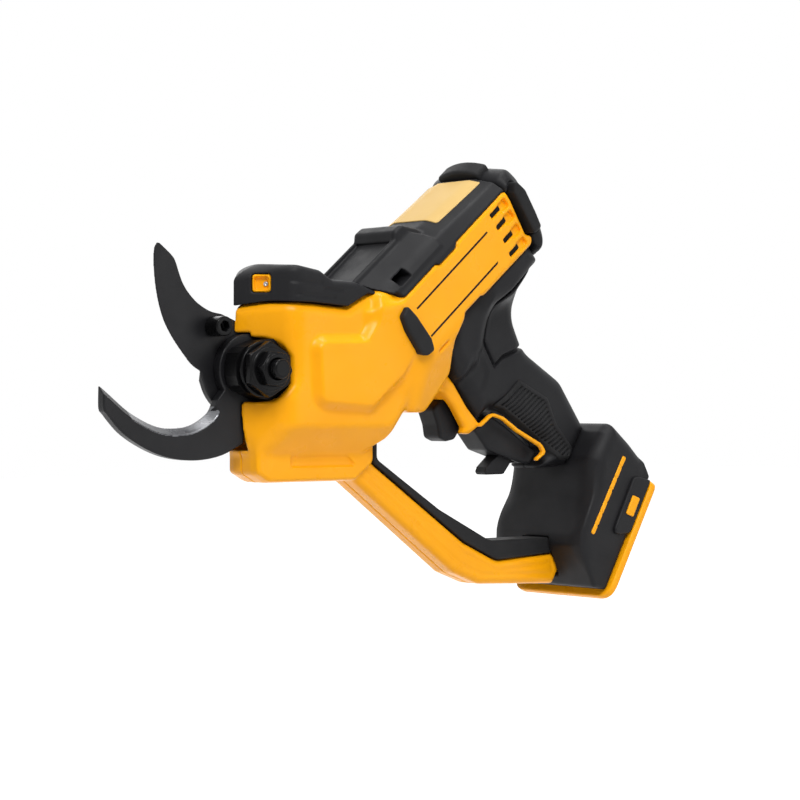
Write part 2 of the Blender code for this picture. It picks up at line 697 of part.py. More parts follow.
def build_covers(paints):
    """Black nose cap, motor cover, rear cap and rubber bumpers."""
    cap_top = rounded([
        (NOSE_X, HEAD_TOP - 14.0, 1.5), (NOSE_X + 2.0, CAP_TOP - 8.5, 4.0),
        (NOSE_X + 13.0, CAP_TOP - 3.5, 10.0),
        (NOSE_X + 28.0, CAP_TOP, 14.0), (NOSE_X + 52.0, CAP_TOP - 2.5, 6.0),
        (NOSE_X + 61.0, CAP_TOP - 7.0, 6.0),
        along_motor(35.0, 30.0) + (3.0,), along_motor(33.0, 10.0) + (1.0,),
    ])
    cap = slab("nose_cap", cap_top, -HEAD_HALF, HEAD_HALF, paints["black"], HEAD_ROUND, HEAD_ROUND)
    hollow = [(NOSE_X + 19.0, HEAD_TOP - 9.0), (NOSE_X + 58.0, HEAD_TOP - 9.0),
              (NOSE_X + 50.0, CAP_TOP - 6.0),
              (NOSE_X + 26.0, CAP_TOP - 3.2), (NOSE_X + 19.0, CAP_TOP - 5.5)]
    boolean(cap, slab("hollow", hollow, -HEAD_HALF + 9.0, HEAD_HALF - 9.0))
    sweep_nose(cap, -1, 0.0)
    sweep_nose(cap, 1, 0.0)
    boolean(cap, slab("seat", inset(head_outline(), -GAP), -HEAD_HALF - 9.0, HEAD_HALF + 9.0))
    boolean(cap, slab("seat", inset(barrel_outline(), -GAP), -HEAD_HALF - 9.0, HEAD_HALF + 9.0))
    motor_bay(cap)
    keep_largest(cap)
    for side in (-1, 1):
        way = Vector((NOSE_SWEEP, 1.0)).normalized()
        across = Vector((-way.y, way.x))
        middle = Vector((NOSE_TIP, 0.0)) + way * 13.0
        corners = ((-4.6, -2.5), (4.6, -2.5), (4.6, 9.0), (-4.6, 9.0))
        plan = [middle + way * a + across * b for a, b in corners]
        loops = [[(p.x, side * p.y, z) for p in plan] for z in (HEAD_TOP + 5.2, HEAD_TOP + 13.6)]
        boolean(cap, loft("window", loops))
    tidy(cap)

    front = along_motor_loop(30.0, cover_section())
    back = along_motor_loop(BARREL_END - GAP, cover_section())
    cover = loft("motor_cover", [front, back], paints["black"])
    hump = rounded([along_motor(21.0, 26.0) + (1.0,), along_motor(21.5, HUMP_RISE + 2.0) + (3.0,),
                    along_motor(62.0, HUMP_RISE - 1.0) + (6.0,), along_motor(71.0, 31.0) + (2.0,),
                    along_motor(71.0, 26.0) + (1.0,)])
    boolean(cover, slab("hump", hump, -16.0, 16.0, None, 3.0, 3.0), "UNION")
    cheek = [along_motor(37.0, 15.0), along_motor(46.0, PANEL_TOP), along_motor(46.0, 30.0),
             along_motor(21.5, 36.0)]
    boolean(cover, slab("cheek", cheek, -27.0, 27.0, None, 3.0, 3.0), "UNION")
    boolean(cover, slab("clear_cap", inset(cap_top, -GAP), -HEAD_HALF - 9.0, HEAD_HALF + 9.0))
    cut_clear(cover, GAP)
    motor_bay(cover)
    keep_largest(cover)
    tidy(cover)

    rows = ((0.0, 1.0, 31.2, -31.0), (0.3, 1.0, 30.6, -27.0), (0.5, 0.96, 26.5, -22.0),
            (0.7, 0.88, 21.0, -17.0), (0.84, 0.76, 15.5, -12.5), (0.94, 0.55, 8.0, -7.0))
    rear = loft("rear_cap", rear_loops(rows, 0.0), paints["black"])
    boolean(rear, loft("rear_hollow",
                       rear_loops(((-0.3, 1.0, 31.2, -31.0), (0.4, 0.98, 28.4, -24.4)), 4.5)))
    for e in (-10.0, -5.0, 0.0, 5.0, 10.0):
        vent = [along_motor(CAP_END - 14.0, e - 1.2), along_motor(CAP_END + 5.0, e - 1.2),
                along_motor(CAP_END + 5.0, e + 1.2), along_motor(CAP_END - 14.0, e + 1.2)]
        boolean(rear, slab("rear_vent", vent, -16.0, 16.0))
    tidy(rear)

    for side, word in ((-1, "left"), (1, "right")):
        pad = rounded([along_motor(35.0, 11.5) + (2.0,), along_motor(30.0, 7.0) + (2.0,),
                       along_motor(29.0, -4.0) + (2.0,), along_motor(25.5, -13.0) + (2.0,),
                       along_motor(29.5, -15.0) + (2.0,), along_motor(33.0, -13.5) + (2.0,)])
        slab(f"{word}_front_bumper", pad, side * (BARREL_HALF + GAP), side * (BARREL_HALF + 3.4),
             paints["rubber"],
             round1=1.2)
        tail = rounded([along_motor(BARREL_END + 1.5, 12.5) + (1.5,),
                        along_motor(BARREL_END + 9.0, 12.0) + (1.5,),
                        along_motor(BARREL_END + 8.5, -12.0) + (1.5,),
                        along_motor(BARREL_END + 1.0, -11.5) + (1.5,)])
        slab(f"{word}_rear_bumper", tail, side * (BARREL_HALF + GAP), side * (BARREL_HALF + 3.0),
             paints["rubber"],
             round1=1.0)
    crown = [(-16.0, 30.8), (-9.0, 31.9), (9.0, 31.9), (16.0, 30.8), (16.0, 32.6), (9.0, 34.8),
             (-9.0, 34.8),
             (-16.0, 32.6)]
    pad = [(y, e - 0.9 if e > 32.0 else e) for y, e in crown]
    rows = ((-2.8, pad), (-1.8, crown), (5.0, crown), (6.0, pad))
    loft("top_bumper", [along_motor_loop(BARREL_END + q, row) for q, row in rows], paints["rubber"])


def along_motor_loop(q, section):
    """Cross-section points (y, e) placed square to the motor shaft at q."""
    loop = []
    for y, e in section:
        x, z = along_motor(q, e)
        loop.append((x, y, z))
    return loop


def cover_section():
    """Arched cover: the upper run of the barrel section and a second run inside it."""
    arch = rear_section()
    outer = sorted(point for point in arch if point[1] > PANEL_TOP + GAP)
    inner = [(y * (BARREL_HALF - 3.0) / BARREL_HALF, max(PANEL_TOP + GAP, e - 3.0)) for y, e in outer]
    return [(-BARREL_HALF, PANEL_TOP + GAP)] + outer + [(BARREL_HALF, PANEL_TOP + GAP)] + inner[::-1]


def rear_section():
    return rounded([
        (-BARREL_HALF, -22.0, 10.0), (-BARREL_HALF, PANEL_TOP + 0.5, 2.0), (5.0 - BARREL_HALF, 26.5, 3.0),
        (-13.0, 31.2, 8.0), (13.0, 31.2, 8.0), (BARREL_HALF - 5.0, 26.5, 3.0),
        (BARREL_HALF, PANEL_TOP + 0.5, 2.0),
        (BARREL_HALF, -22.0, 10.0), (16.0, -31.0, 10.0), (-16.0, -31.0, 10.0),
    ])


def rear_loops(rows, depth):
    """Cross-sections of the rear cap: each row is its place, its width and its top and bottom."""
    section = rear_section()
    top = max(e for _, e in section)
    low = min(e for _, e in section)
    loops = []
    for share, width, high, floor in rows:
        scale = (high - floor) / (top - low)
        moved = [(y * width, floor + (e - low) * scale) for y, e in section]
        q = BARREL_END + GAP + share * (CAP_LENGTH - GAP)
        loops.append(along_motor_loop(q, inset(moved, depth) if depth else moved))
    return loops


def keep_largest(item):
    """Drop loose crumbs that a cut leaves behind."""
    work = bmesh.new()
    work.from_mesh(item.data)
    left = set(work.verts)
    groups = []
    while left:
        seed = left.pop()
        group = {seed}
        queue = [seed]
        while queue:
            for edge in queue.pop().link_edges:
                for vert in edge.verts:
                    if vert in left:
                        left.discard(vert)
                        group.add(vert)
                        queue.append(vert)
        groups.append(group)
    groups.sort(key=len)
    for group in groups[:-1]:
        bmesh.ops.delete(work, geom=list(group), context="VERTS")
    work.to_mesh(item.data)
    work.free()


def build_grip(paints):
    """Black grip halves with a ribbed panel on each side."""
    lobes = [(grip_outline(), GRIP_HALF, GRIP_ROUND, ()), (belly_outline(), BARREL_HALF - 2.0, 9.0, ())]
    body = shell_half("left_grip", lobes, paints["black"])
    cut_clear(body, GAP, (-1,))
    boolean(body, slab("trim_clear", inset(trim_outline(), -GAP), 3.0, -BRIDGE_HALF - GAP))
    for outline in (swept(upper_trigger_outline()), swept(lower_trigger_outline())):
        boolean(body, slab("pocket", inset(outline, -SLIDE_GAP), 5.0, -TRIGGER_HALF - SLIDE_GAP))
    boolean(body, slab("foot_clear", inset(foot_outline(), -GAP), 9.0, -FOOT_HALF))
    motor_bay(body)
    keep_largest(body)
    tidy(body)
    mirrored(body, "right_grip")
    rib_panel = rounded([(-14.0, 12.0, 2.0), (-32.0, -3.0, 2.0), (-13.0, -9.0, 2.0), (6.0, -18.0, 2.0),
                         (18.0, -30.0, 3.0), (24.5, -25.0, 3.0), (12.0, -8.0, 3.0), (7.0, 2.0, 3.0)])
    panel = slab("left_grip_panel", rib_panel, -GRIP_HALF - GAP, -GRIP_HALF - 1.6, paints["rubber"],
                 round1=0.6, steps=1)
    for row in range(9):
        middle_x = -17.0 + 4.4 * row
        middle_z = 4.0 - 3.9 * row
        groove = [(middle_x - 16.0, middle_z - 14.5), (middle_x - 15.0, middle_z - 15.6),
                  (middle_x + 16.0, middle_z + 12.4), (middle_x + 15.0, middle_z + 13.5)]
        boolean(panel, slab("groove", groove, -GRIP_HALF - 1.0, -GRIP_HALF - 9.0))
    tidy(panel)
    mirrored(panel, "right_grip_panel")


def build_foot(paints):
    """Black battery foot, its yellow rail base, contacts and side trim."""
    foot = slab("foot_housing", foot_outline(), -FOOT_HALF, FOOT_HALF, paints["black"], 6.0, 6.0)
    for side in (-1, 1):
        corner = [(22.5, 31.0), (22.5 + 12.0 * 0.795, 43.0), (-20.0, 43.0), (22.5 - 16.0 * 0.795, 15.0)]
        loops = [[(x, side * y, z) for x, y in corner] for z in (-130.0, 10.0)]
        boolean(foot, loft("corner", loops))
    boolean(foot, channel_cut("channel", CHANNEL_HALF, CHANNEL_DEPTH, 20.0))
    hollow = [along_foot(-60.0, SOLE - 24.0), along_foot(-14.0, SOLE - 24.0),
              along_foot(-14.0, SOLE - 5.0),
              along_foot(-60.0, SOLE - 5.0)]
    boolean(foot, slab("hollow", hollow, -22.0, 22.0))
    cut_clear(foot, GAP)
    tidy(foot)
    outline = rounded([(FOOT_FRONT, -BASE_HALF, 9.0), (FOOT_REAR, -BASE_HALF, 5.0),
                       (FOOT_REAR, BASE_HALF, 5.0),
                       (FOOT_FRONT, BASE_HALF, 9.0)])
    loops = []
    for v in (SOLE - BASE_THICK, SOLE):
        loop = []
        for u, y in outline:
            x, z = along_foot(u, v)
            loop.append((x, y, z))
        loops.append(loop)
    base = loft("foot_base", loops, paints["yellow"])
    boolean(base, channel_cut("mouth", CHANNEL_HALF - RAIL_LIP, CHANNEL_DEPTH, 20.0))
    ledge = [along_foot(FOOT_FRONT + 10.0, SOLE - CHANNEL_DEPTH),
             along_foot(FOOT_REAR + 30.0, SOLE - CHANNEL_DEPTH),
             along_foot(FOOT_REAR + 30.0, SOLE - 2.2), along_foot(FOOT_FRONT + 10.0, SOLE - 2.2)]
    boolean(base, slab("ledge", ledge, -CHANNEL_HALF, CHANNEL_HALF))
    cut_clear(base, GAP)
    tidy(base)
    block = [along_foot(-50.0, SOLE - CHANNEL_DEPTH - 6.0), along_foot(-24.0, SOLE - CHANNEL_DEPTH - 6.0),
             along_foot(-24.0, SOLE - 4.0), along_foot(-50.0, SOLE - 4.0)]
    contacts = slab("terminal_block", block, -17.0, 17.0, paints["dark"])
    for y in (-10.5, -3.5, 3.5, 10.5):
        slit = [along_foot(-46.0, SOLE - 9.0), along_foot(-20.0, SOLE - 9.0), along_foot(-20.0, SOLE),
                along_foot(-46.0, SOLE)]
        boolean(contacts, slab("slit", slit, y - 1.0, y + 1.0))
    tidy(contacts)
    for side, word in ((-1, "left"), (1, "right")):
        strip = rounded([along_foot(-54.0, 55.6) + (1.2,), along_foot(-6.0, 56.6) + (1.2,),
                         along_foot(-6.0, 59.2) + (1.2,),
                         along_foot(-54.0, 58.2) + (1.2,)], 2)
        slab(f"{word}_accent_strip", strip, side * (FOOT_HALF + GAP), side * (FOOT_HALF + 0.9),
             paints["yellow"])
        boss = rounded([along_foot(-46.0, 65.5) + (5.0,), along_foot(-12.0, 65.5) + (4.0,),
                        along_foot(-12.0, 78.5) + (1.0,),
                        along_foot(-42.0, 78.5) + (1.0,)])
        slab(f"{word}_hook_boss", boss, side * (FOOT_HALF + GAP), side * (FOOT_HALF + 1.8),
             paints["black"], round1=0.8)
        insert = rounded([along_foot(-34.0, 71.5) + (0.8,), along_foot(-22.0, 71.5) + (0.8,),
                          along_foot(-22.0, 78.0) + (0.8,),
                          along_foot(-34.0, 78.0) + (0.8,)], 2)
        slab(f"{word}_hook_insert", insert, side * (FOOT_HALF + 1.8 + GAP), side * (FOOT_HALF + 2.9),
             paints["yellow"])
    lining = slab("guard_lining", lining_outline(), -GUARD_HALF, GUARD_HALF, paints["rubber"], 1.0, 1.0,
                  1)
    boolean(lining, slab("foot_clear", inset(foot_outline(), -GAP), -FOOT_HALF, FOOT_HALF))
    cut_clear(lining, GAP)
    tidy(lining)


def build_jaws(paints):
    """Counter blade, cutting blade with its gear sector, and the pivot stack."""
    tip = from_pivot(CUTTING_LENGTH, BLADE_OPEN)
    hub = arc(from_pivot(JAW_HUB, radians(176.0)), from_pivot(JAW_HUB, radians(320.0)),
              from_pivot(JAW_HUB, radians(92.0)), 14)
    edge = arc(tip, from_pivot(50.6, radians(151.0)), from_pivot(25.5, radians(182.0)), 12)
    spine = arc(from_pivot(29.6, radians(108.0)), from_pivot(52.5, radians(125.5)),
                from_pivot(74.0, radians(127.2)), 10)
    near = edge + hub + spine
    far = []
    for index, (x, z) in enumerate(near):
        if index < len(edge):
            ahead = Vector(near[min(index + 1, len(edge))]) - Vector(near[max(index - 1, 0)])
            side = Vector((-ahead.y, ahead.x)).normalized()
            depth = BLADE_BEVEL * min(1.0, 0.12 + index / 3.0) * (0.4 if index == len(edge) - 1 else 1.0)
            far.append((x + side.x * depth, z + side.y * depth))
        else:
            far.append((x, z))
    y0 = GAP / 2
    blade = loft("cutting_blade", [[(x, y0, z) for x, z in near], [(x, y0 + 1.0, z) for x, z in near],
                                   [(x, y0 + CUTTING_THICK, z) for x, z in far]], paints["blade"])
    screw = from_pivot(27.6, radians(130.7))
    boolean(blade, slab("bore", disc((PIVOT_X, PIVOT_Z), BOLT_BORE, 20), -9.0, 9.0))
    boolean(blade, slab("screw_bore", disc(screw, SCREW_RADIUS + GAP, 12), -9.0, 9.0))
    tidy(blade)
    pivot_at(blade, (PIVOT_X, 0.0, PIVOT_Z))

    sector_y = y0 + CUTTING_THICK + GAP
    module = 2.0 * GEAR_CENTRES / (PINION_TEETH + SECTOR_TEETH)
    pitch_turn = 2 * pi / SECTOR_TEETH
    outline = gear_outline((PIVOT_X, PIVOT_Z), SECTOR_TEETH, module, 0.5, -8, 1, pitch_turn / 2, 17.0)
    sector = slab("sector_gear", outline, sector_y, sector_y + 6.0, paints["steel"])
    ear = rounded([from_pivot(14.0, radians(80.0)) + (0.0,), from_pivot(14.0, radians(180.0)) + (0.0,),
                   from_pivot(34.5, radians(142.0)) + (5.0,), from_pivot(34.5, radians(119.0)) + (5.0,)])
    boolean(sector, slab("ear", ear, sector_y, sector_y + 6.0), "UNION")
    boolean(sector, slab("bore", disc((PIVOT_X, PIVOT_Z), BOLT_BORE, 20), -9.0, 19.0))
    boolean(sector, slab("screw_bore", disc(screw, SCREW_RADIUS + GAP, 12), -9.0, 19.0))
    tidy(sector)
    pivot_at(sector, (PIVOT_X, 0.0, PIVOT_Z))

    head = slab("blade_screw", disc(screw, 5.0, 18), y0 - GAP, y0 - GAP - 10.8, paints["dark"],
                round1=0.8, steps=1)
    boolean(head, slab("shank", disc(screw, SCREW_RADIUS, 12), y0 - 1.0, sector_y + 5.6), "UNION")
    boolean(head, slab("socket", disc(screw, 2.9, 6), y0 - 6.0, y0 - 20.0))
    tidy(head)
    pivot_at(head, (PIVOT_X, 0.0, PIVOT_Z))

    outer = arc(from_pivot(COUNTER_LENGTH + 3.4, radians(193.5)), from_pivot(56.0, radians(233.0)),
                from_pivot(34.0, radians(270.5)), 14)
    heel = arc(from_pivot(30.0, radians(285.0)), from_pivot(24.0, radians(320.0)),
               from_pivot(21.0, radians(0.0)), 4)
    crown = arc(from_pivot(21.0, radians(20.0)), from_pivot(21.0, radians(100.0)),
                from_pivot(21.0, radians(196.0)), 10)
    inner = arc(from_pivot(24.2, radians(217.0)), from_pivot(48.0, radians(216.5)),
                from_pivot(COUNTER_LENGTH, radians(185.8)), 14)
    back = outer + heel + crown + inner
    front = []
    start = len(back) - len(inner)
    for index, (x, z) in enumerate(back):
        if start < index < len(back) - 1:
            ahead = Vector(back[index + 1]) - Vector(back[index - 1])
            side = Vector((ahead.y, -ahead.x)).normalized() * -1.0
            depth = COUNTER_BEVEL * min(1.0, (index - start) / 3.0, (len(back) - 1 - index) / 8.0)
            front.append((x + side.x * depth, z + side.y * depth))
        else:
            front.append((x, z))
    counter = loft("counter_blade", [[(x, -y0, z) for x, z in back], [(x, -y0 - 1.6, z) for x, z in back],
                                     [(x, -y0 - COUNTER_THICK, z) for x, z in front]], paints["blade"])
    boolean(counter, slab("bore", disc((PIVOT_X, PIVOT_Z), BOLT_BORE, 20), 9.0, -9.0))
    tidy(counter)

    cheek_y = -y0 - COUNTER_THICK - GAP
    bolt = slab("pivot_bolt", disc((PIVOT_X, PIVOT_Z), BOLT_RADIUS, 20), -36.0, 15.9, paints["dark"],
                round0=0.8, steps=1)
    boolean(bolt, slab("bolt_head", disc((PIVOT_X, PIVOT_Z), 9.8, 6), 15.4, 22.0, round1=0.8, steps=1),
            "UNION")
    tidy(bolt)
    plate_y = cheek_y - 10.0
    ring("pivot_washer", WASHER_RADIUS, plate_y - GAP, plate_y - 2.8, 28, 0.8, paints["dark"])
    ring("pivot_nut", 12.6, plate_y - 2.8 - GAP, plate_y - 9.0, 6, 0.9, paints["dark"], radians(30.0))
    ring("lock_nut", 9.6, plate_y - 9.0 - GAP, plate_y - 15.4, 6, 0.9, paints["dark"], radians(30.0))
    return cheek_y, plate_y, sector_y, module


def ring(name, radius, y0, y1, sides, rim, material, phase=0.0):
    """Washer or nut on the pivot bolt."""
    item = slab(name, disc((PIVOT_X, PIVOT_Z), radius, sides, phase), y0, y1, material, round1=rim,
                steps=1)
    boolean(item, slab("bore", disc((PIVOT_X, PIVOT_Z), BOLT_BORE, 20), y0 + 5.0, y1 - 5.0))
    return tidy(item)


def build_drive(paints, cheek_y, plate_y, sector_y, module):
    """Gear case, output pinion, reduction stage, motor, fan and electronics."""
    centre = along_motor(0.0, 0.0)
    case = slab("gear_case", disc(centre, 21.5, 24), plate_y, sector_y - GAP - 0.2, paints["alloy"])
    cheek = rounded([(PIVOT_X, PIVOT_Z + 14.4, 0.0), (PIVOT_X - 15.0, PIVOT_Z + 9.0, 8.0),
                     (PIVOT_X - 15.0, PIVOT_Z - 9.0, 8.0), (PIVOT_X, PIVOT_Z - 14.4, 0.0),
                     (centre[0] - 4.0, centre[1] - 20.0, 0.0), (centre[0] - 4.0, centre[1] + 20.0, 0.0)])
    boolean(case, slab("cheek", cheek, plate_y, cheek_y), "UNION")
    neck = [along_motor(6.0, -14.0), along_motor(CASE_END, -14.0), along_motor(CASE_END, 14.0),
            along_motor(6.0, 14.0)]
    boolean(case, slab("neck", neck, plate_y, sector_y - GAP - 0.2), "UNION")
    flange = [along_motor(22.4, -20.0), along_motor(CASE_END, -20.0), along_motor(CASE_END, 20.0),
              along_motor(22.4, 20.0)]
    boolean(case, slab("flange", flange, plate_y, 15.4), "UNION")
    boolean(case, slab("bolt_bore", disc((PIVOT_X, PIVOT_Z), BOLT_BORE, 20), 19.0, -30.0))
    boolean(case, slab("shaft_bore", disc(centre, 6.0 + SLIDE_GAP, 16), 19.0, -9.0))
    tidy(case)
    plate = rounded([(PIVOT_X, PIVOT_Z + 15.0, 0.0), (PIVOT_X - 12.0, PIVOT_Z + 8.0, 7.0),
                     (PIVOT_X - 12.0, PIVOT_Z - 8.0, 7.0),
                     (PIVOT_X, PIVOT_Z - 15.0, 0.0), (centre[0] + 8.0, centre[1] - 15.0, 6.0),
                     (centre[0] + 8.0, centre[1] + 15.0, 6.0)])
    side = slab("side_plate", plate, sector_y + 6.0 + GAP, 15.1, paints["alloy"])
    boolean(side, slab("bolt_bore", disc((PIVOT_X, PIVOT_Z), BOLT_BORE, 20), 30.0, 0.0))
    boolean(side, slab("shaft_bore", disc(centre, 6.0 + SLIDE_GAP, 16), 30.0, 0.0))
    tidy(side)
    tooth = gear_outline(centre, PINION_TEETH, module, 0.5, 0, PINION_TEETH, pi, 0.0)
    pinion = slab("output_pinion", tooth, sector_y, sector_y + 6.0, paints["steel"])
    boolean(pinion, slab("shaft", disc(centre, 6.0, 16), -8.0, 14.8), "UNION")
    tidy(pinion)
    pivot_at(pinion, (centre[0], 0.0, centre[1]))
    for name, q0, q1, radius, colour in (
        ("reduction_stage", CASE_END + GAP, MOTOR_FRONT, MOTOR_RADIUS - 1.0, "alloy"),
        ("motor_can", MOTOR_FRONT + GAP, MOTOR_REAR, MOTOR_RADIUS, "steel"),
    ):
        loops = [along_motor_loop(q, disc((0.0, 0.0), radius, 24)) for q in (q0, q1)]
        tidy(loft(name, loops, paints[colour]))
    fan_outline = []
    for blade in range(9):
        angle = 2 * pi * blade / 9
        for radius, shift in ((9.0, -0.12), (22.0, 0.05), (22.0, 0.2), (9.0, 0.14)):
            fan_outline.append((radius * cos(angle + shift), radius * sin(angle + shift)))
    fan = loft("motor_fan", [along_motor_loop(q, fan_outline) for q in (102.0, 110.0)], paints["dark"])
    hub = disc((0.0, 0.0), 9.6, 20)
    boolean(fan, loft("fan_hub", [along_motor_loop(q, hub) for q in (MOTOR_REAR + GAP, 111.0)]), "UNION")
    tidy(fan)
    x, z = along_motor(0.0, 0.0)
    pivot_at(fan, (x, 0.0, z))
    board = [along_foot(-58.0, SOLE - 23.0), along_foot(-16.0, SOLE - 23.0),
             along_foot(-16.0, SOLE - 21.4), along_foot(-58.0, SOLE - 21.4)]
    slab("control_board", board, -20.0, 20.0, paints["board"])


def build_controls(paints):
    """Two triggers, the finger catch of the lower one, the switch block and the case screws."""
    upper = slab("upper_trigger", upper_trigger_outline(), -TRIGGER_HALF, TRIGGER_HALF, paints["black"],
                 2.0, 2.0)
    lower = slab("lower_trigger", lower_trigger_outline(), -TRIGGER_HALF, TRIGGER_HALF, paints["black"],
                 2.0, 2.0)
    k_x, k_z = along_motor(0.0, 0.0)
    lever = slab("lock_catch", catch_outline(), -CATCH_HALF, CATCH_HALF, paints["black"], 1.0, 1.0, 1)
    room = inset(swung(catch_outline(), catch_pivot(), CATCH_TURN), -SLIDE_GAP)
    boolean(lower, slab("notch", room, -CATCH_HALF - SLIDE_GAP, CATCH_HALF + SLIDE_GAP))
    tidy(lower)
    pivot_at(lever, (catch_pivot()[0], 0.0, catch_pivot()[1]))
    switch = [(k_x + 98.0, k_z - 18.0), (k_x + 112.0, k_z - 27.0), (k_x + 124.0, k_z - 12.0),
              (k_x + 110.0, k_z - 1.0)]
    reach = GRIP_HALF - WALL - GAP
    slab("switch_block", switch, -reach, reach, paints["dark"], 4.5, 4.5, 1)
    for index, (x, z) in enumerate(screw_places()):
        depth = HEAD_HALF if index > 1 else BARREL_HALF
        slab(f"case_screw_{index + 1}", disc((x, z), SCREW_RADIUS, 12), depth - 5.0, depth - 2.0,
             paints["dark"], round1=0.5, steps=1)
    return upper, lower


def main():
    clear_scene()
    paints = {
        "yellow": paint("yellow_plastic", (0.95, 0.47, 0.02), 0.42),
        "black": paint("black_plastic", (0.035, 0.035, 0.036), 0.55),
        "rubber": paint("black_rubber", (0.022, 0.022, 0.023), 0.75),
        "blade": paint("coated_steel", (0.03, 0.03, 0.032), 0.5, 0.6),
        "steel": paint("steel", (0.45, 0.45, 0.46), 0.35, 1.0),
        "dark": paint("black_oxide", (0.02, 0.02, 0.021), 0.4, 0.7),
        "alloy": paint("cast_alloy", (0.5, 0.5, 0.51), 0.5, 1.0),
        "board": paint("circuit_board", (0.02, 0.12, 0.05), 0.5),
    }
    build_housing(paints)
    build_covers(paints)
    build_grip(paints)
    build_foot(paints)
    cheek_y, plate_y, sector_y, module = build_jaws(paints)
    build_drive(paints, cheek_y, plate_y, sector_y, module)
    build_controls(paints)
    for item in bpy.data.objects:
        item.data.shade_smooth()
        item.data.set_sharp_from_angle(angle=SMOOTH_TURN)


main()
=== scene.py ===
"""Looks of a battery pruner: moulded housings, coated jaws, rubber trim and a plain studio.

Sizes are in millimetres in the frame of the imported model: X runs from the jaws to the heel of the
battery foot, Y from the left side to the right side, Z is up and the origin is the middle of the
hand grip. Lengths along and across the motor shaft are called q and e, and out is the distance
from the middle plane.
"""

from __future__ import annotations

import logging
import math
from dataclasses import dataclass
from enum import Enum
from functools import reduce
from typing import Callable, Sequence

import bpy
import numpy as np
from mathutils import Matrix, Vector

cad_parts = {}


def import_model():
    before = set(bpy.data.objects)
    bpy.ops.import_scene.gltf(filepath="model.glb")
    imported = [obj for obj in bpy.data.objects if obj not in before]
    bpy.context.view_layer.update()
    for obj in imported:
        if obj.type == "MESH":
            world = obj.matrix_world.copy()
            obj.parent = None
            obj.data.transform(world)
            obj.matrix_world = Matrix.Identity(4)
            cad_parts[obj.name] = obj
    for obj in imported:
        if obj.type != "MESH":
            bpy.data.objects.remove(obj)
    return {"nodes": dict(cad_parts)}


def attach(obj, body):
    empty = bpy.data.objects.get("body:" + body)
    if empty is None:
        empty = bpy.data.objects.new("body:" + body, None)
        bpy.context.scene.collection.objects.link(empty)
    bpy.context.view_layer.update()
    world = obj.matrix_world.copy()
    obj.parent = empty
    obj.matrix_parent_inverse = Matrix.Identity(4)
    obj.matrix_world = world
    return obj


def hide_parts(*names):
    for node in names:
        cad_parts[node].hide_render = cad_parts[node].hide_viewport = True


LOG = logging.getLogger("pruner")
MM = 0.001
Array = np.ndarray
Corner = tuple[float, float, float]
Point = tuple[float, float]
Colour = tuple[float, float, float, float]


class Side(Enum):
    """Side of the tool: the left one faces the camera."""

    LEFT = -1
    RIGHT = 1

    @property
    def word(self) -> str:
        """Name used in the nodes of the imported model."""
        return self.name.lower()


class Sheen(Enum):
    """How a surface throws light back: its roughness."""

    OXIDE = 0.24
    SATIN = 0.3
    LACQUER = 0.35
    BLACKENED = 0.36
    COATED = 0.4
    GRAINED = 0.5
    DULL = 0.6
    SOFT = 0.68


# Places that several pieces share


@dataclass(frozen=True)
class Slope:
    """A tilted pair of axes in the side view, with its zero point."""

    x: float
    z: float
    tilt: float

    def at(self, along: float, across: float) -> Point:
        """Point of the side view for a place on the slope.

        Args:
            along: Distance along the slope.
            across: Distance square to it.

        Returns:
            The point's x and z.
        """
        c = math.cos(math.radians(self.tilt))
        s = math.sin(math.radians(self.tilt))
        return self.x + along * c - across * s, self.z + along * s + across * c

    def split(self, x: Array, z: Array) -> tuple[Array, Array]:
        """Places along and across the slope.

        Args:
            x: Grid of x values.
            z: Grid of z values.

        Returns:
            Grids of the distance along and of the distance across.
        """
        c = math.cos(math.radians(self.tilt))
        s = math.sin(math.radians(self.tilt))
        dx = x - self.x
        dz = z - self.z
        return dx * c + dz * s, dz * c - dx * s


# Axes of the motor shaft and of the battery foot, and the pivot of the blades
MOTOR = Slope(-116.0, 16.0, 41.0)
FOOT = Slope(0.0, 0.0, 61.0)
PIVOT = (-180.0, 16.0)
# Half width of the motor end, gap between neighbours, half gap between the halves of a shell,
# half width of a trigger well and the distance out from which flank pieces are carried
MOTOR_HALF = 31.5
FIT = 0.3
PARTING = 0.12
WELL_HALF = 9.8
CARRY_FROM = 20.0


def sole(u: float, v: float) -> Point:
    """Side-view point u along the sole and v out of the grip towards it."""
    return FOOT.at(u, -v)


# Distance fields: negative inside, in millimetres


def rounded(corners: Sequence[Corner], steps: int = 8) -> Array:
    """Outline whose corners (x, z, radius) are curves tangent to both neighbours.

    Each curve is quadratic: it leaves one side at the arc's tangent point and meets the other.

    Args:
        corners: Corner points with the radius of the curve at each.
        steps: Pieces per curve.

    Returns:
        Points of the outline, one row each.
    """
    rows: list[Array] = []
    count = len(corners)
    nearly_straight = math.radians(176.0)
    most_of_side = 0.49
    for index, (x, z, radius) in enumerate(corners):
        here = np.array((x, z))
        back = np.array(corners[index - 1][:2]) - here
        ahead = np.array(corners[(index + 1) % count][:2]) - here
        back_len, ahead_len = np.linalg.norm(back), np.linalg.norm(ahead)
        back, ahead = back / back_len, ahead / ahead_len
        turn = math.acos(float(np.clip(back @ ahead, -1.0, 1.0)))
        if radius <= 0.0 or turn > nearly_straight:
            rows.append(here[None])
            continue
        tangent = radius / math.tan(turn / 2)
        reach = min(tangent, most_of_side * back_len, most_of_side * ahead_len)
        mix = np.linspace(0.0, 1.0, steps + 1)[:, None]
        start, end = here + back * reach, here + ahead * reach
        rows.append((1 - mix) ** 2 * start + 2 * mix * (1 - mix) * here + mix**2 * end)
    return np.concatenate(rows)


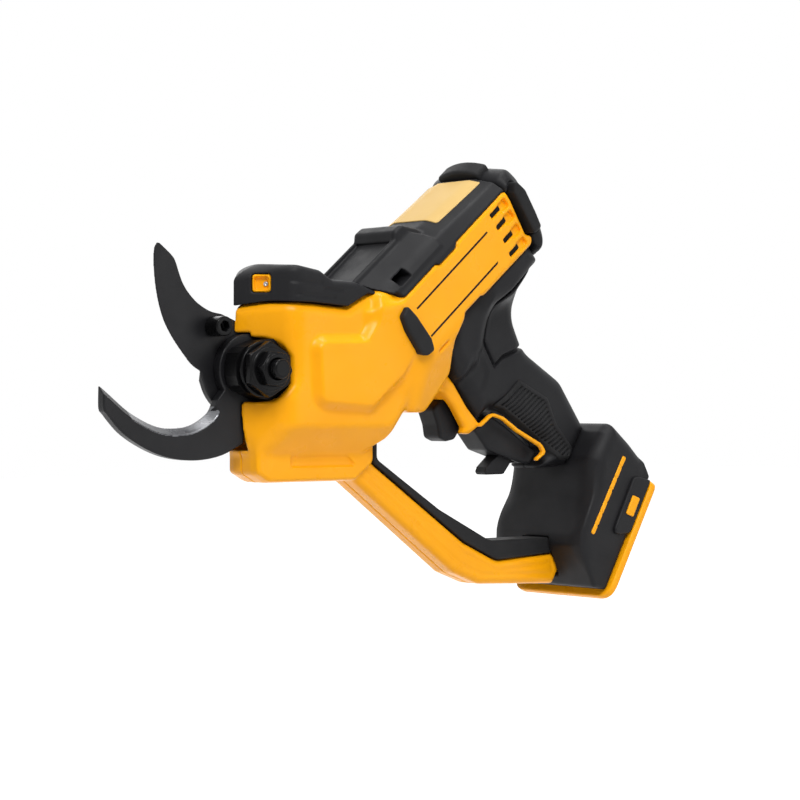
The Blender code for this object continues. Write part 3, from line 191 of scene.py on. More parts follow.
def mirrored(half: Sequence[Corner]) -> list[Corner]:
    """Corners of a symmetric outline: the given ones reflected, then themselves backwards."""
    return [(-x, z, radius) for x, z, radius in half] + list(half)[::-1]


def beyond(outline: Array, x: Array, z: Array) -> Array:
    """Signed distance in a plane to a closed outline, below zero inside.

    The nearest point is sought on every side in turn, and the sign flips at each side that a
    level ray crosses.

    Args:
        outline: Corner points, one row each.
        x: Grid of x values.
        z: Grid of z values.

    Returns:
        Distance at each grid point.
    """
    best = np.full(np.broadcast(x, z).shape, 1e9, np.float32)
    inside = np.zeros(best.shape, bool)
    for (ax, az), (bx, bz) in zip(outline, np.roll(outline, -1, axis=0)):
        ex, ez = bx - ax, bz - az
        span = ex * ex + ez * ez
        if span < 1e-12:
            continue
        wx, wz = x - ax, z - az
        t = np.clip((wx * ex + wz * ez) / span, 0.0, 1.0)
        best = np.minimum(best, (wx - ex * t) ** 2 + (wz - ez * t) ** 2)
        crosses = (az > z) != (bz > z)
        if ez != 0.0:
            inside ^= crosses & (x < ax + ex * (z - az) / ez)
    return np.where(inside, -np.sqrt(best), np.sqrt(best)).astype(np.float32)


def line_distance(run: Sequence[Point], x: Array, z: Array) -> Array:
    """Distance in a plane to an open run of points: an outline that goes there and back."""
    there = np.array(run, dtype=float)
    return np.abs(beyond(np.concatenate((there, there[-2:0:-1])), x, z))


def carried(flat: Array, depth: Array, half: float, rim: float = 0.0) -> Array:
    """Outline carried to both sides of depth zero: the rims are quarter rounds.

    Args:
        flat: Distance to the outline in its own plane.
        depth: Distance from the middle plane.
        half: Half of the width.
        rim: Radius of the rounded rim.

    Returns:
        Distance to the solid.
    """
    a = flat + rim
    b = np.abs(depth) - (half - rim)
    outer = np.sqrt(np.maximum(a, 0.0) ** 2 + np.maximum(b, 0.0) ** 2)
    return np.minimum(np.maximum(a, b), 0.0) + outer - rim


def slab(
    outline: Array, x: Array, out: Array, z: Array, half: float, rim: float = 0.0
) -> Array:
    """Side outline carried to both sides of the middle plane, with rounded rims."""
    return carried(beyond(outline, x, z), out, half, rim)


def joined(a: Array, b: Array, fillet: float = 0.0) -> Array:
    """Union of two solids: where their distances are close, a parabola fills the inner corner.

    Args:
        a: Distance to one solid.
        b: Distance to the other.
        fillet: Size of the fillet, or zero for a sharp corner.

    Returns:
        Distance to the union.
    """
    if fillet <= 0.0:
        return np.minimum(a, b)
    h = np.maximum(fillet - np.abs(a - b), 0.0) / fillet
    return np.minimum(a, b) - h * h * fillet * 0.25


def without(a: Array, b: Array, edge: float = 0.0) -> Array:
    """Solid a with solid b cut out and the new edge eased by that size."""
    return -joined(-a, b, edge)


def common(a: Array, b: Array, edge: float = 0.0) -> Array:
    """Space shared by two solids, with the new edge eased by that size."""
    return -joined(-a, -b, edge)


def every(*solids: Array) -> Array:
    """Space shared by all the solids, with sharp edges: the largest of the distances."""
    return reduce(np.maximum, solids)


def ramp(value: Array, start: float, end: float) -> Array:
    """Straight rise from zero at start to one at end, held outside them."""
    return np.clip((value - start) / (end - start), 0.0, 1.0)


def scored(field: Array, away: Array, width: float, depth: float) -> Array:
    """Field with a soft groove along a line: depth times a bell curve of the distance to it."""
    return field + depth * np.exp(-((away / width) ** 2))


def block(*pairs: tuple[Array, float], edge: float = 0.0) -> Array:
    """Rounded block: the distances past each half size, put together as the sides of a box.

    Args:
        pairs: Grid of offsets from the middle and half size, for each direction.
        edge: Radius of the edges.

    Returns:
        Distance to the block.
    """
    past = [np.abs(value) - half + edge for value, half in pairs]
    outside = np.sqrt(sum(np.maximum(p, 0.0) ** 2 for p in past))
    inside = np.minimum(np.maximum.reduce(np.broadcast_arrays(*past)), 0.0)
    return outside + inside - edge


def hexagon(dx: Array, dz: Array, turn: float) -> Array:
    """Largest distance from the middle along the six square directions of a hexagon.

    Args:
        dx: Offsets along X from the middle.
        dz: Offsets along Z from the middle.
        turn: Angle of the first direction in radians.

    Returns:
        Distance, equal to the half width across the flats on the outline.
    """
    angles = [turn + math.pi * k / 3.0 for k in range(6)]
    return every(*(dx * math.cos(a) + dz * math.sin(a) for a in angles))


@dataclass(frozen=True)
class Facet:
    """Slanting face, by how fast the distance past it grows along two directions."""

    first: float
    second: float
    length: float = 1.0

    def past(self, a: Array, b: Array) -> Array:
        """Distance past the face for offsets from a point of it along both directions."""
        return (a * self.first + b * self.second) / self.length


# Swept faces of the nose: their slope and the place where they would meet
NOSE_SWEEP = Facet(0.629, -0.777)
NOSE_POINT = -185.5


def bow(x: Array, out: Array, lead: Array | float = 0.0) -> Array:
    """Distance past the swept faces of the nose, whose meeting point is moved ahead by lead."""
    return NOSE_SWEEP.past(out, x - NOSE_POINT + lead)


def motor_space(q: Array, e: Array, y: Array) -> Array:
    """Distance to the round space for the motor and its reduction, along the motor shaft.

    Args:
        q: Place along the shaft.
        e: Place across the shaft.
        y: Place across the tool.

    Returns:
        Distance, below zero in the space.
    """
    radius, front, rear = 26.0, 40.0, 130.0
    return every(np.sqrt(e * e + y * y) - radius, front - q, q - rear)


def curve(points: Sequence[Point], steps: int = 6) -> tuple[Point, ...]:
    """Smooth run through points: between two of them a cubic that follows the chords beside it.

    Args:
        points: Points that the run passes through.
        steps: Pieces between two points.

    Returns:
        Points of the run.
    """
    there = np.array(points, dtype=float)
    slope = np.gradient(there, axis=0)
    t = np.linspace(0.0, 1.0, steps, endpoint=False)[None, :, None]
    a, b = there[:-1, None], there[1:, None]
    da, db = slope[:-1, None], slope[1:, None]
    made = (
        (2 * t**3 - 3 * t**2 + 1) * a
        + (t**3 - 2 * t**2 + t) * da
        + (3 * t**2 - 2 * t**3) * b
        + (t**3 - t**2) * db
    )
    return tuple(map(tuple, np.concatenate((made.reshape(-1, 2), there[-1:]))))


def hull(points: Array, grow: float = 0.0) -> Array:
    """Convex outline round a cloud of points, by a lower and an upper chain of left turns.

    Args:
        points: The cloud, one row each.
        grow: How far the outline is then moved out from its middle.

    Returns:
        Points of the outline.
    """
    order = sorted(map(tuple, points))
    chains: list[Point] = []
    for run in (order, order[::-1]):
        chain: list[Point] = []
        for p in run:
            while len(chain) > 1:
                (ax, ay), (bx, by) = chain[-2], chain[-1]
                if (bx - ax) * (p[1] - ay) - (by - ay) * (p[0] - ax) > 0:
                    break
                chain.pop()
            chain.append(p)
        chains += chain[:-1]
    made = np.array(chains)
    away = made - made.mean(axis=0)
    return made + grow * away / np.linalg.norm(away, axis=1, keepdims=True)


# From fields to meshes


@dataclass(frozen=True)
class FieldBox:
    """Box of grid points on which a distance field is sampled."""

    low: tuple[float, float, float]
    high: tuple[float, float, float]
    step: float

    def axes(self) -> tuple[Array, Array, Array]:
        """Grid values along X, Y and Z.

        Returns:
            Three arrays, shaped so that they broadcast.
        """
        made = []
        for axis in range(3):
            count = int(math.ceil((self.high[axis] - self.low[axis]) / self.step)) + 1
            shape = [1, 1, 1]
            shape[axis] = count
            values = self.low[axis] + self.step * np.arange(count)
            made.append(values.astype(np.float32).reshape(shape))
        return made[0], made[1], made[2]

    def on(self, side: Side) -> "FieldBox":
        """This box, drawn for the right side, on the given side.

        Args:
            side: Side of the tool.

        Returns:
            The box itself or its reflection in the middle plane.
        """
        if side is Side.RIGHT:
            return self
        (x0, near, z0), (x1, far, z1) = self.low, self.high
        return FieldBox((x0, -far, z0), (x1, -near, z1), self.step)


def skin(field: Array, box: FieldBox) -> tuple[Array, Array]:
    """Closed quad skin of a distance field by the surface net.

    Each cell that the surface crosses gets one point, the mean of the crossings on its edges.
    Each grid edge with a change of sign gets one quad through the four cells round it.

    Args:
        field: Distances on the grid.
        box: The grid's place and step.

    Returns:
        Points in millimetres and quads of point numbers.
    """
    field = np.pad(field, 1, constant_values=np.float32(box.step))
    low = np.array(box.low) - box.step
    within = field < 0
    sizes = np.array(field.shape) - 1
    corners = [(i, j, k) for i in (0, 1) for j in (0, 1) for k in (0, 1)]

    def part(values: Array, offset: tuple[int, int, int]) -> Array:
        """Values at one corner of every cell."""
        i, j, k = offset
        return values[i : i + sizes[0], j : j + sizes[1], k : k + sizes[2]]

    total = np.zeros(sizes, np.uint8)
    for corner in corners:
        total += part(within, corner)
    cells = np.nonzero((total > 0) & (total < 8))
    number = np.full(sizes, -1, np.int64)
    number[cells] = np.arange(len(cells[0]))
    values = {c: field[cells[0] + c[0], cells[1] + c[1], cells[2] + c[2]] for c in corners}
    place = np.zeros((len(cells[0]), 3))
    hits = np.zeros(len(cells[0]))
    for first in corners:
        for axis in range(3):
            if first[axis] == 1:
                continue
            second = tuple(1 if i == axis else first[i] for i in range(3))
            a, b = values[first], values[second]
            crossed = (a < 0) != (b < 0)
            t = np.where(crossed, a / np.where(crossed, a - b, 1.0), 0.0)
            point = np.array(first, float)[None] + t[:, None] * np.eye(3)[axis]
            place += np.where(crossed[:, None], point, 0.0)
            hits += crossed
    points = (np.stack(cells, axis=1) + place / hits[:, None]) * box.step + low
    quads = []
    for axis in range(3):
        other, last = (axis + 1) % 3, (axis + 2) % 3
        ahead = [slice(None)] * 3
        behind = [slice(None)] * 3
        behind[axis], ahead[axis] = slice(0, -1), slice(1, None)
        a, b = within[tuple(behind)], within[tuple(ahead)]
        spots = np.stack(np.nonzero(a != b), axis=1)
        spots = spots[(spots[:, other] > 0) & (spots[:, last] > 0)]
        spots = spots[(spots[:, other] < sizes[other]) & (spots[:, last] < sizes[last])]
        inward = a[tuple(spots.T)]
        ring = []
        for du, dv in ((-1, -1), (0, -1), (0, 0), (-1, 0)):
            near = spots.copy()
            near[:, other] += du
            near[:, last] += dv
            ring.append(number[tuple(near.T)])
        quad = np.stack(ring, axis=1)
        quad[~inward] = quad[~inward][:, ::-1]
        quads.append(quad)
    return points, np.concatenate(quads)


def settled(points: Array, quads: Array, rounds: int = 2) -> Array:
    """Points eased towards the mean of their neighbours and then back, so that steps melt.

    Args:
        points: Points of a skin.
        quads: Its quads.
        rounds: How many times each pair of moves is made.

    Returns:
        Moved points.
    """
    starts = quads.ravel()
    ends = np.roll(quads, -1, axis=1).ravel()
    degree = np.bincount(starts, minlength=len(points)).astype(float)
    inward, outward = 0.5, -0.53
    for _ in range(rounds):
        for share in (inward, outward):
            mean = np.stack(
                [np.bincount(starts, points[ends, i], len(points)) for i in range(3)], axis=1
            )
            points = points + share * (mean / degree[:, None] - points)
    return points


def mesh_piece(name: str, points: Array, faces: Array, smooth: bool = True) -> bpy.types.Object:
    """Object from points in millimetres and faces of equal size.

    Args:
        name: Name of the piece.
        points: Points, one row each.
        faces: Point numbers, one face a row.
        smooth: Whether faces are shaded as one curved surface.

    Returns:
        The object, at the origin.
    """
    mesh = bpy.data.meshes.new(name)
    size = faces.shape[1]
    mesh.vertices.add(len(points))
    mesh.vertices.foreach_set("co", (np.asarray(points) * MM).astype(np.float32).ravel())
    mesh.loops.add(faces.size)
    mesh.loops.foreach_set("vertex_index", faces.astype(np.int32).ravel())
    mesh.polygons.add(len(faces))
    mesh.polygons.foreach_set("loop_start", np.arange(0, faces.size, size, dtype=np.int32))
    mesh.polygons.foreach_set("use_smooth", np.full(len(faces), smooth))
    mesh.update(calc_edges=True)
    mesh.validate()
    piece = bpy.data.objects.new(name, mesh)
    bpy.context.scene.collection.objects.link(piece)
    return piece


def moulded(name: str, box: FieldBox, shape: Callable[..., Array]) -> bpy.types.Object:
    """Piece whose surface is where a distance field is zero.

    Args:
        name: Name of the piece.
        box: Grid for the field.
        shape: Function of the x, y and z grids that gives the distance.

    Returns:
        The object, at the origin.
    """
    field = shape(*box.axes()).astype(np.float32)
    points, quads = skin(field, box)
    points = settled(points, quads)
    return mesh_piece(name, points, quads)


# Finishes


def linear(red: int, green: int, blue: int) -> Colour:
    """Linear colour of an 8-bit screen colour, by the standard screen curve.

    Args:
        red: Red part.
        green: Green part.
        blue: Blue part.

    Returns:
        Red, green, blue and full opacity.
    """
    values = np.array((red, green, blue)) / 255.0
    values = np.where(values <= 0.04045, values / 12.92, ((values + 0.055) / 1.055) ** 2.4)
    return (*(float(v) for v in values), 1.0)


def setup(made: bpy.types.Node, **values: object) -> bpy.types.Node:
    """Set inputs of a node.

    Args:
        made: The node.
        values: Input values by name of the input, with underscores for blanks.

    Returns:
        The node.
    """
    for label, value in values.items():
        made.inputs[label.replace("_", " ")].default_value = value
    return made


@dataclass(frozen=True)
class Finish:
    """A surface finish: two close tones, grain and uneven gloss, all worked out by nodes.

    The grain is fine noise in the height, the tones follow slow noise, and the roughness swings
    a little round its mean, as on real mouldings and coatings.
    """

    name: str
    tone: Colour
    shade: Colour
    sheen: Sheen
    grain: float
    depth: float
    metal: float = 0.0
    specular: float = 0.5
    stretch: tuple[float, float, float] = (1.0, 1.0, 1.0)
    height: float = 0.2
    swing: float = 0.06
    cloud_scale: float = 28.0
    tone_stops: Point = (0.35, 0.65)
    smear_scale: float = 90.0
    smear_stops: Point = (0.3, 0.7)

    def material(self) -> bpy.types.Material:
        """The node material of this finish, made once.

        Returns:
            The material.
        """
        label = f"{self.name}_finish"
        made = bpy.data.materials.get(label)
        if made is not None:
            return made
        made = bpy.data.materials.new(label)
        made.use_nodes = True
        nodes, links = made.node_tree.nodes, made.node_tree.links
        shader = nodes["Principled BSDF"]
        setup(shader, Metallic=self.metal, Specular_IOR_Level=self.specular)
        place = nodes.new("ShaderNodeTexCoord")
        turn = setup(nodes.new("ShaderNodeMapping"), Scale=self.stretch)
        links.new(place.outputs["Object"], turn.inputs["Vector"])

        def noise(scale: float, detail: float) -> bpy.types.NodeSocket:
            """Noise on the object's own places.

            Args:
                scale: Cells to the metre.
                detail: How many finer layers it has.

            Returns:
                Socket of its value.
            """
            cells = setup(nodes.new("ShaderNodeTexNoise"), Scale=scale, Detail=detail)
            links.new(turn.outputs["Vector"], cells.inputs["Vector"])
            return cells.outputs["Fac"]

        bump = setup(nodes.new("ShaderNodeBump"), Strength=self.depth, Distance=self.height * MM)
        links.new(noise(1.0 / (self.grain * MM), detail=3.0), bump.inputs["Height"])
        links.new(bump.outputs["Normal"], shader.inputs["Normal"])

        tones = nodes.new("ShaderNodeValToRGB")
        for stop, position, colour in zip(
            tones.color_ramp.elements, self.tone_stops, (self.shade, self.tone)
        ):
            stop.position = position
            stop.color = colour
        links.new(noise(self.cloud_scale, detail=4.0), tones.inputs["Fac"])
        links.new(tones.outputs["Color"], shader.inputs["Base Color"])

        gloss = setup(
            nodes.new("ShaderNodeMapRange"),
            From_Min=self.smear_stops[0],
            From_Max=self.smear_stops[1],
            To_Min=self.sheen.value - self.swing,
            To_Max=self.sheen.value + self.swing,
        )
        links.new(noise(self.smear_scale, detail=5.0), gloss.inputs["Value"])
        links.new(gloss.outputs["Result"], shader.inputs["Roughness"])
        return made

    def dress(self, piece: bpy.types.Object) -> None:
        """Put this finish on every face of a piece."""
        piece.data.materials.clear()
        piece.data.materials.append(self.material())


YELLOW = Finish(
    "yellow_shell", linear(251, 170, 12), linear(248, 166, 10), Sheen.SATIN,
    grain=0.5, depth=0.05, specular=0.17,
)
BLACK = Finish(
    "black_shell", linear(25, 25, 27), linear(21, 21, 23), Sheen.GRAINED,
    grain=0.4, depth=0.2, specular=0.15,
)
RUBBER = Finish(
    "black_rubber", linear(27, 27, 28), linear(22, 22, 23), Sheen.SOFT,
    grain=0.3, depth=0.2, specular=0.2,
)
COATED = Finish(
    "coated_blade", linear(23, 23, 25), linear(18, 18, 20), Sheen.COATED,
    grain=0.25, depth=0.1, specular=0.17,
)
# Bright ground steel of the blade bevels, put only on bevel faces that look up, so it is partly a
# painted highlight
GROUND_HIGHLIGHT = Finish(
    "ground_edge_highlight", linear(120, 121, 124), linear(96, 97, 100), Sheen.SATIN,
    grain=0.2, depth=0.1, metal=0.6, stretch=(1.0, 1.0, 4.0),
)
OXIDE = Finish(
    "black_oxide", linear(12, 12, 13), linear(8, 8, 9), Sheen.OXIDE,
    grain=0.3, depth=0.08, specular=0.1,
)
CARRIER = Finish(
    "blackened_carrier", linear(11, 11, 12), linear(8, 8, 9), Sheen.BLACKENED,
    grain=0.5, depth=0.2, specular=0.08,
)
STEEL = Finish(
    "ground_steel", linear(176, 178, 181), linear(150, 152, 156), Sheen.SATIN,
    grain=0.2, depth=0.1, metal=1.0, stretch=(1.0, 6.0, 1.0),
)
ALLOY = Finish(
    "cast_alloy", linear(120, 122, 125), linear(102, 104, 107), Sheen.GRAINED,
    grain=0.6, depth=0.3, metal=0.9,
)
INNER = Finish(
    "inner_plastic", linear(16, 16, 17), linear(12, 12, 13), Sheen.DULL,
    grain=0.4, depth=0.15, specular=0.1,
)
BOARD = Finish(
    "board_lacquer", linear(30, 92, 58), linear(24, 80, 48), Sheen.LACQUER, grain=0.5, depth=0.1
)
LABEL = Finish(
    "paper_label", linear(212, 178, 112), linear(206, 171, 105), Sheen.GRAINED,
    grain=0.6, depth=0.04, specular=0.1,
)


# Mouldings


@dataclass
class Moulding:
    """A piece grown from a distance field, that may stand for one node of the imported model."""

    name: str
    node: str
    finish: Finish
    slot: str
    box: FieldBox
    body: str = "frame"

    def field(self, x: Array, y: Array, z: Array) -> Array:
        """Distance to the surface of the piece, below zero inside, on grids of place."""
        raise NotImplementedError

    def build(self) -> bpy.types.Object:
        """Grow, finish and hang the piece.

        Returns:
            The piece.
        """
        piece = moulded(self.name, self.box, self.field)
        self.finish.dress(piece)
        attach(piece, self.body)
        if self.node:
            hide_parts(self.node)
        return piece


@dataclass
class Sided(Moulding):
    """A moulding that each side of the tool has one of: its box is drawn for the right side."""

    side: Side = Side.RIGHT

    def __post_init__(self) -> None:
        """Put the word of the side before both names and turn the box to that side."""
        self.name = f"{self.side.word}_{self.name}"
        self.node = f"{self.side.word}_{self.node}" if self.node else ""
        self.box = self.box.on(self.side)

    def out(self, y: Array) -> Array:
        """Distance from the middle plane towards this side."""
        return y * self.side.value


@dataclass
class Housing(Sided):
    """Yellow clamshell half: gear head, motor panel, trigger bridge, keel and guard bar."""

    name: str = "shell"
    node: str = "housing"
    finish: Finish = YELLOW
    slot: str = "yellow_plastic"
    box: FieldBox = FieldBox((-194.0, -0.7, -101.0), (26.0, 34.5, 111.0), step=0.76)
    head_half: float = 25.0
    bridge_half: float = 15.5
    guard_half: float = 10.0
    guard_line: float = 5.2
    keel_half: float = 12.5
    inset_depth: float = 1.3
    trim_reach: float = 17.6
    trim_root: float = 14.6
    wall: float = 4.0
    room_half: float = 20.0
    pad_rise: float = 4.4
    pad_slope: float = 5.4
    pad_from: Point = (14.0, 20.0)
    chin_lead: float = 5.0
    chin_z: Point = (12.0, 2.0)
    seat_radius: float = 15.9
    seat_reach: float = 19.3
    sector_reach: float = 48.1
    sector_half: float = 11.4
    fan_gap: float = 1.0
    through: float = 60.0
    vent_half: Point = (4.2, 1.45)
    vent_middle: float = 30.0
    vent_depth: float = 8.0
    scoop_half: Point = (3.4, 2.6)
    scoop_shift: Point = (6.2, -0.6)
    scoop_face: float = 30.9
    scoop_rise: float = 0.2
    slit_from: float = 10.0

    # Side outline of the gear head, from the nose to the motor panel
    HEAD = rounded([
        (-188.0, 46.5, 2.0), (-191.0, 12.0, 8.0), (-192.0, -6.0, 8.0), (-180.0, -28.0, 6.0),
        (-118.0, -28.0, 3.0), (-105.0, -19.0, 4.0), (-94.0, -4.0, 5.0),
        (*MOTOR.at(38.0, -8.0), 2.0), (*MOTOR.at(36.0, 15.0), 2.0), (*MOTOR.at(28.5, 25.0), 4.0),
        (*MOTOR.at(21.5, 32.0), 3.0), (-133.5, 47.5, 2.0), (-154.0, 49.0, 10.0),
        (-174.0, 49.4, 10.0),
    ])
    # Motor panel and the rounded lobe below it
    PANEL = rounded([
        (*MOTOR.at(14.0, 26.0), 3.0), (*MOTOR.at(32.0, 18.2), 2.0), (*MOTOR.at(61.5, 18.2), 1.0),
        (*MOTOR.at(63.5, 16.4), 1.0), (*MOTOR.at(77.5, 16.4), 1.0), (*MOTOR.at(79.5, 18.2), 1.0),
        (*MOTOR.at(123.5, 18.2), 3.5), (*MOTOR.at(123.2, 11.0), 3.0),
        (*MOTOR.at(119.8, -8.5), 3.0), (*MOTOR.at(123.0, -12.5), 2.5),
        (*MOTOR.at(119.8, -15.4), 3.0), (*MOTOR.at(77.0, -14.7), 1.5),
        (*MOTOR.at(74.5, -13.4), 1.5), (*MOTOR.at(61.0, -13.2), 1.5),
        (*MOTOR.at(58.5, -15.4), 2.0), (*MOTOR.at(48.0, -20.2), 6.0), (-66.5, 26.0, 8.0),
        (-65.0, 14.5, 6.0), (-74.5, 1.0, 5.0), (-80.0, -5.5, 6.0), (-92.0, -5.5, 4.0),
        (-97.0, 3.0, 4.0), (-112.0, 16.0, 5.0),
    ])
    # Bridge between the two triggers
    BRIDGE = rounded([
        (-76.0, 24.0, 3.0), (-61.0, 15.5, 5.0), (-55.2, 9.6, 4.0), (-46.4, -2.4, 6.0),
        (-38.2, -10.8, 1.6), (-39.4, -13.8, 1.6), (-44.8, -17.0, 2.0), (-49.6, -16.6, 1.0),
        (-48.2, -13.6, 2.0), (-55.4, -2.8, 5.0), (-62.4, 4.6, 4.0), (-70.0, 7.0, 4.0),
        (-80.0, 4.0, 2.0),
    ])
    # Keel under the head and the guard bar behind it
    GUARD = rounded([
        (-180.0, -22.0, 1.0), (-180.0, -35.0, 3.0), (-172.0, -39.5, 4.0), (-118.0, -39.5, 4.0),
        (-50.0, -90.0, 12.0), (-33.0, -96.5, 10.0), (19.5, -98.6, 1.0), (24.2, -91.0, 0.5),
        (20.6, -82.0, 0.5), (-21.0, -84.6, 10.0), (-44.0, -74.0, 20.0), (-106.0, -31.0, 5.0),
        (-106.0, -14.0, 1.0), (-118.0, -18.0, 1.0),
    ])
    # Broader keel block that the guard bar springs from
    KEEL = rounded([
        (-180.0, -14.0, 1.0), (-180.0, -35.0, 3.0), (-172.0, -39.5, 4.0), (-118.6, -39.5, 3.0),
        (-107.0, -30.6, 4.0), (-107.0, -14.0, 1.0),
    ])
    # Shallow inset in the side of the keel block
    INSET = rounded([
        (-159.6, -26.2, 1.0), (-125.0, -26.2, 1.0), (-118.6, -32.4, 1.0), (-159.6, -32.4, 1.0),
    ])
    # Raised pad on the gear head
    PAD = rounded([
        (-152.5, 28.6, 4.0), (-151.0, 1.0, 4.0), (-121.0, -1.0, 5.0), (-101.5, 15.0, 4.0),
        (-90.0, 34.0, 6.0), (-104.0, 54.0, 2.0), (-114.0, 54.0, 2.0), (-116.0, 40.0, 6.0),
        (-124.0, 29.0, 6.0),
    ])
    # Thin edge beside the lower trigger
    TRIM = rounded([
        (-40.6, -12.4, 0.5), (-31.0, -5.6, 5.0), (-23.0, -7.9, 5.0), (-13.0, -14.2, 4.0),
        (4.0, -22.4, 4.0), (7.6, -27.2, 2.0), (0.4, -32.0, 0.8), (-0.4, -30.6, 0.4),
        (5.0, -26.9, 1.5), (3.0, -24.1, 2.5), (-13.8, -15.9, 4.0), (-23.8, -9.4, 4.0),
        (-30.6, -7.4, 4.0), (-38.8, -13.2, 0.5),
    ])
    # Cut-out round the pivot nuts
    NUT_ROOM = rounded([
        (-200.0, 31.6, 0.0), (-200.0, 0.4, 0.0), (-174.6, 0.4, 3.0), (-165.8, 8.6, 3.0),
        (-165.8, 22.4, 3.0), (-170.8, 29.4, 2.5), (-175.4, 31.6, 2.5),
    ])
    # Small slit below the front bumper, along and across the motor shaft
    SLIT = ((35.4, -17.2), (42.6, -17.2))
    # Slanting faces: lower chamfer of the head, front and underside of the motor panel
    CHAMFER = Facet(14.5, -12.5, 19.1)
    CHAMFER_Z = -12.0
    FLANK = Facet(16.0, 6.5, 17.3)
    FLANK_Q = 26.0
    UNDER = Facet(20.0, -9.0, 21.9)
    UNDER_E = -15.8
    # Plane on the lower side of the sector's fan
    FAN = Facet(-0.9135, -0.4067)

    def gear_head(self, x: Array, out: Array, z: Array) -> tuple[Array, Array]:
        """Gear head with its chamfer, swept nose and raised pad, and the room inside it.

        Args:
            x, out, z: Grids of place.

        Returns:
            Distance to the head and distance to the room.
        """
        flat = beyond(self.HEAD, x, z)
        chamfer = self.CHAMFER.past(out - self.head_half, z - self.CHAMFER_Z)
        swept = bow(x, out, self.chin_lead * ramp(z, *self.chin_z))
        body = common(carried(flat, out, self.head_half, rim=6.0), chamfer, edge=1.4)
        body = common(body, swept, edge=6.0)
        room = every(
            flat + self.wall, out - self.room_half, chamfer + self.wall, swept + self.wall
        )
        rise = np.clip(1.0 - beyond(self.PAD, x, z) / self.pad_slope, 0.0, 1.0)
        rise = rise * rise * (3.0 - 2.0 * rise)
        return body - self.pad_rise * rise * ramp(out, *self.pad_from), room

    def keel(self, x: Array, out: Array, z: Array) -> Array:
        """Keel block under the head, with a shallow inset in its side.

        Args:
            x, out, z: Grids of place.

        Returns:
            Distance to the block.
        """
        whole = slab(self.KEEL, x, out, z, self.keel_half, rim=2.0)
        floor = self.keel_half - self.inset_depth
        return without(whole, every(beyond(self.INSET, x, z), floor - out), edge=0.4)

    def guard_bar(self, x: Array, out: Array, z: Array) -> Array:
        """Guard bar with a line scored along its outline.

        Args:
            x, out, z: Grids of place.

        Returns:
            Distance to the bar.
        """
        flat = beyond(self.GUARD, x, z)
        bar = carried(flat, out, self.guard_half, rim=3.5)
        return scored(bar, np.abs(flat + self.guard_line), width=0.8, depth=0.5)

    def motor_panel(self, x: Array, out: Array, z: Array) -> Array:
        """Motor panel with its slanting front and underside.

        Args:
            x, out, z: Grids of place.

        Returns:
            Distance to the panel.
        """
        q, e = MOTOR.split(x, z)
        flank = self.FLANK.past(out - MOTOR_HALF, self.FLANK_Q - q)
        under = self.UNDER.past(out - MOTOR_HALF, e - self.UNDER_E)
        panel = common(slab(self.PANEL, x, out, z, MOTOR_HALF, rim=2.0), flank, edge=3.0)
        return common(panel, under, edge=2.0)

    def nose_opened(self, body: Array, x: Array, out: Array, z: Array) -> Array:
        """Half with the cut-out round the nuts, the mouth for the blades and the washer's seat.

        Args:
            body: Distance to the half.
            x, out, z: Grids of place.

        Returns:
            Distance to what is left.
        """
        body = without(body, slab(self.NUT_ROOM, x, out, z, self.through), edge=1.6)
        gap, top = (6.2, 34.2) if self.side is Side.LEFT else (11.2, 42.9)
        back, bottom = -168.0, -24.0
        mouth = every(out - gap, x - back, bottom - z, z - top)
        body = without(body, mouth, edge=1.0)
        about_pivot = np.hypot(x - PIVOT[0], z - PIVOT[1])
        seat = every(about_pivot - self.seat_radius, out - self.seat_reach)
        return without(body, seat, edge=0.6)

    def vented(self, body: Array, x: Array, out: Array, z: Array) -> Array:
        """Half with its air slots, a scoop behind each of them, and the small slit.

        Args:
            body: Distance to the half.
            x, out, z: Grids of place.

        Returns:
            Distance to what is left.
        """
        q, e = MOTOR.split(x, z)
        for middle in Vents.SLOTS:
            along, across = q - middle[0], e - middle[1]
            slot = block(
                (along, self.vent_half[0]),
                (across, self.vent_half[1]),
                (out - self.vent_middle, self.vent_depth),
                edge=0.4,
            )
            body = without(body, slot, edge=0.3)
            scoop = block(
                (along - self.scoop_shift[0], self.scoop_half[0]),
                (across - self.scoop_shift[1], self.scoop_half[1]),
                edge=1.0,
            )
            floor = self.scoop_face - self.scoop_rise * along
            body = without(body, every(scoop, floor - out), edge=0.6)
        slit = line_distance(self.SLIT, q, e)
        return np.where(out > self.slit_from, scored(body, slit, width=0.6, depth=1.8), body)

    def field(self, x: Array, y: Array, z: Array) -> Array:
        """Distance to the half: lobes carried across, blended, then openings and rooms cut out.

        Args:
            x, y, z: Grids of place.

        Returns:
            Distance, below zero inside.
        """
        out = self.out(y)
        body, room = self.gear_head(x, out, z)
        body = joined(body, self.keel(x, out, z), fillet=1.2)
        body = joined(body, self.guard_bar(x, out, z), fillet=2.0)
        body = joined(body, self.motor_panel(x, out, z), fillet=4.0)
        bridge = slab(self.BRIDGE, x, out, z, self.bridge_half, rim=3.0)
        body = joined(body, bridge, fillet=3.0)
        trim = slab(self.TRIM, x, out, z, self.trim_reach, rim=0.6)
        body = joined(body, every(trim, self.trim_root - out), fillet=0.4)

        body = self.nose_opened(body, x, out, z)
        body = without(self.vented(body, x, out, z), room)
        if self.side is Side.RIGHT:
            sector = np.hypot(x - PIVOT[0], z - PIVOT[1]) - self.sector_reach
            behind = self.FAN.past(x - PIVOT[0], z - PIVOT[1]) - self.fan_gap
            body = without(body, every(sector, out - self.sector_half, behind))
        q, e = MOTOR.split(x, z)
        body = without(body, motor_space(q, e, y))
        for corners in (Trigger.UPPER, Trigger.LOWER):
            body = without(body, slab(Trigger.room(corners), x, out, z, WELL_HALF), edge=0.4)
        return every(body, PARTING - out)


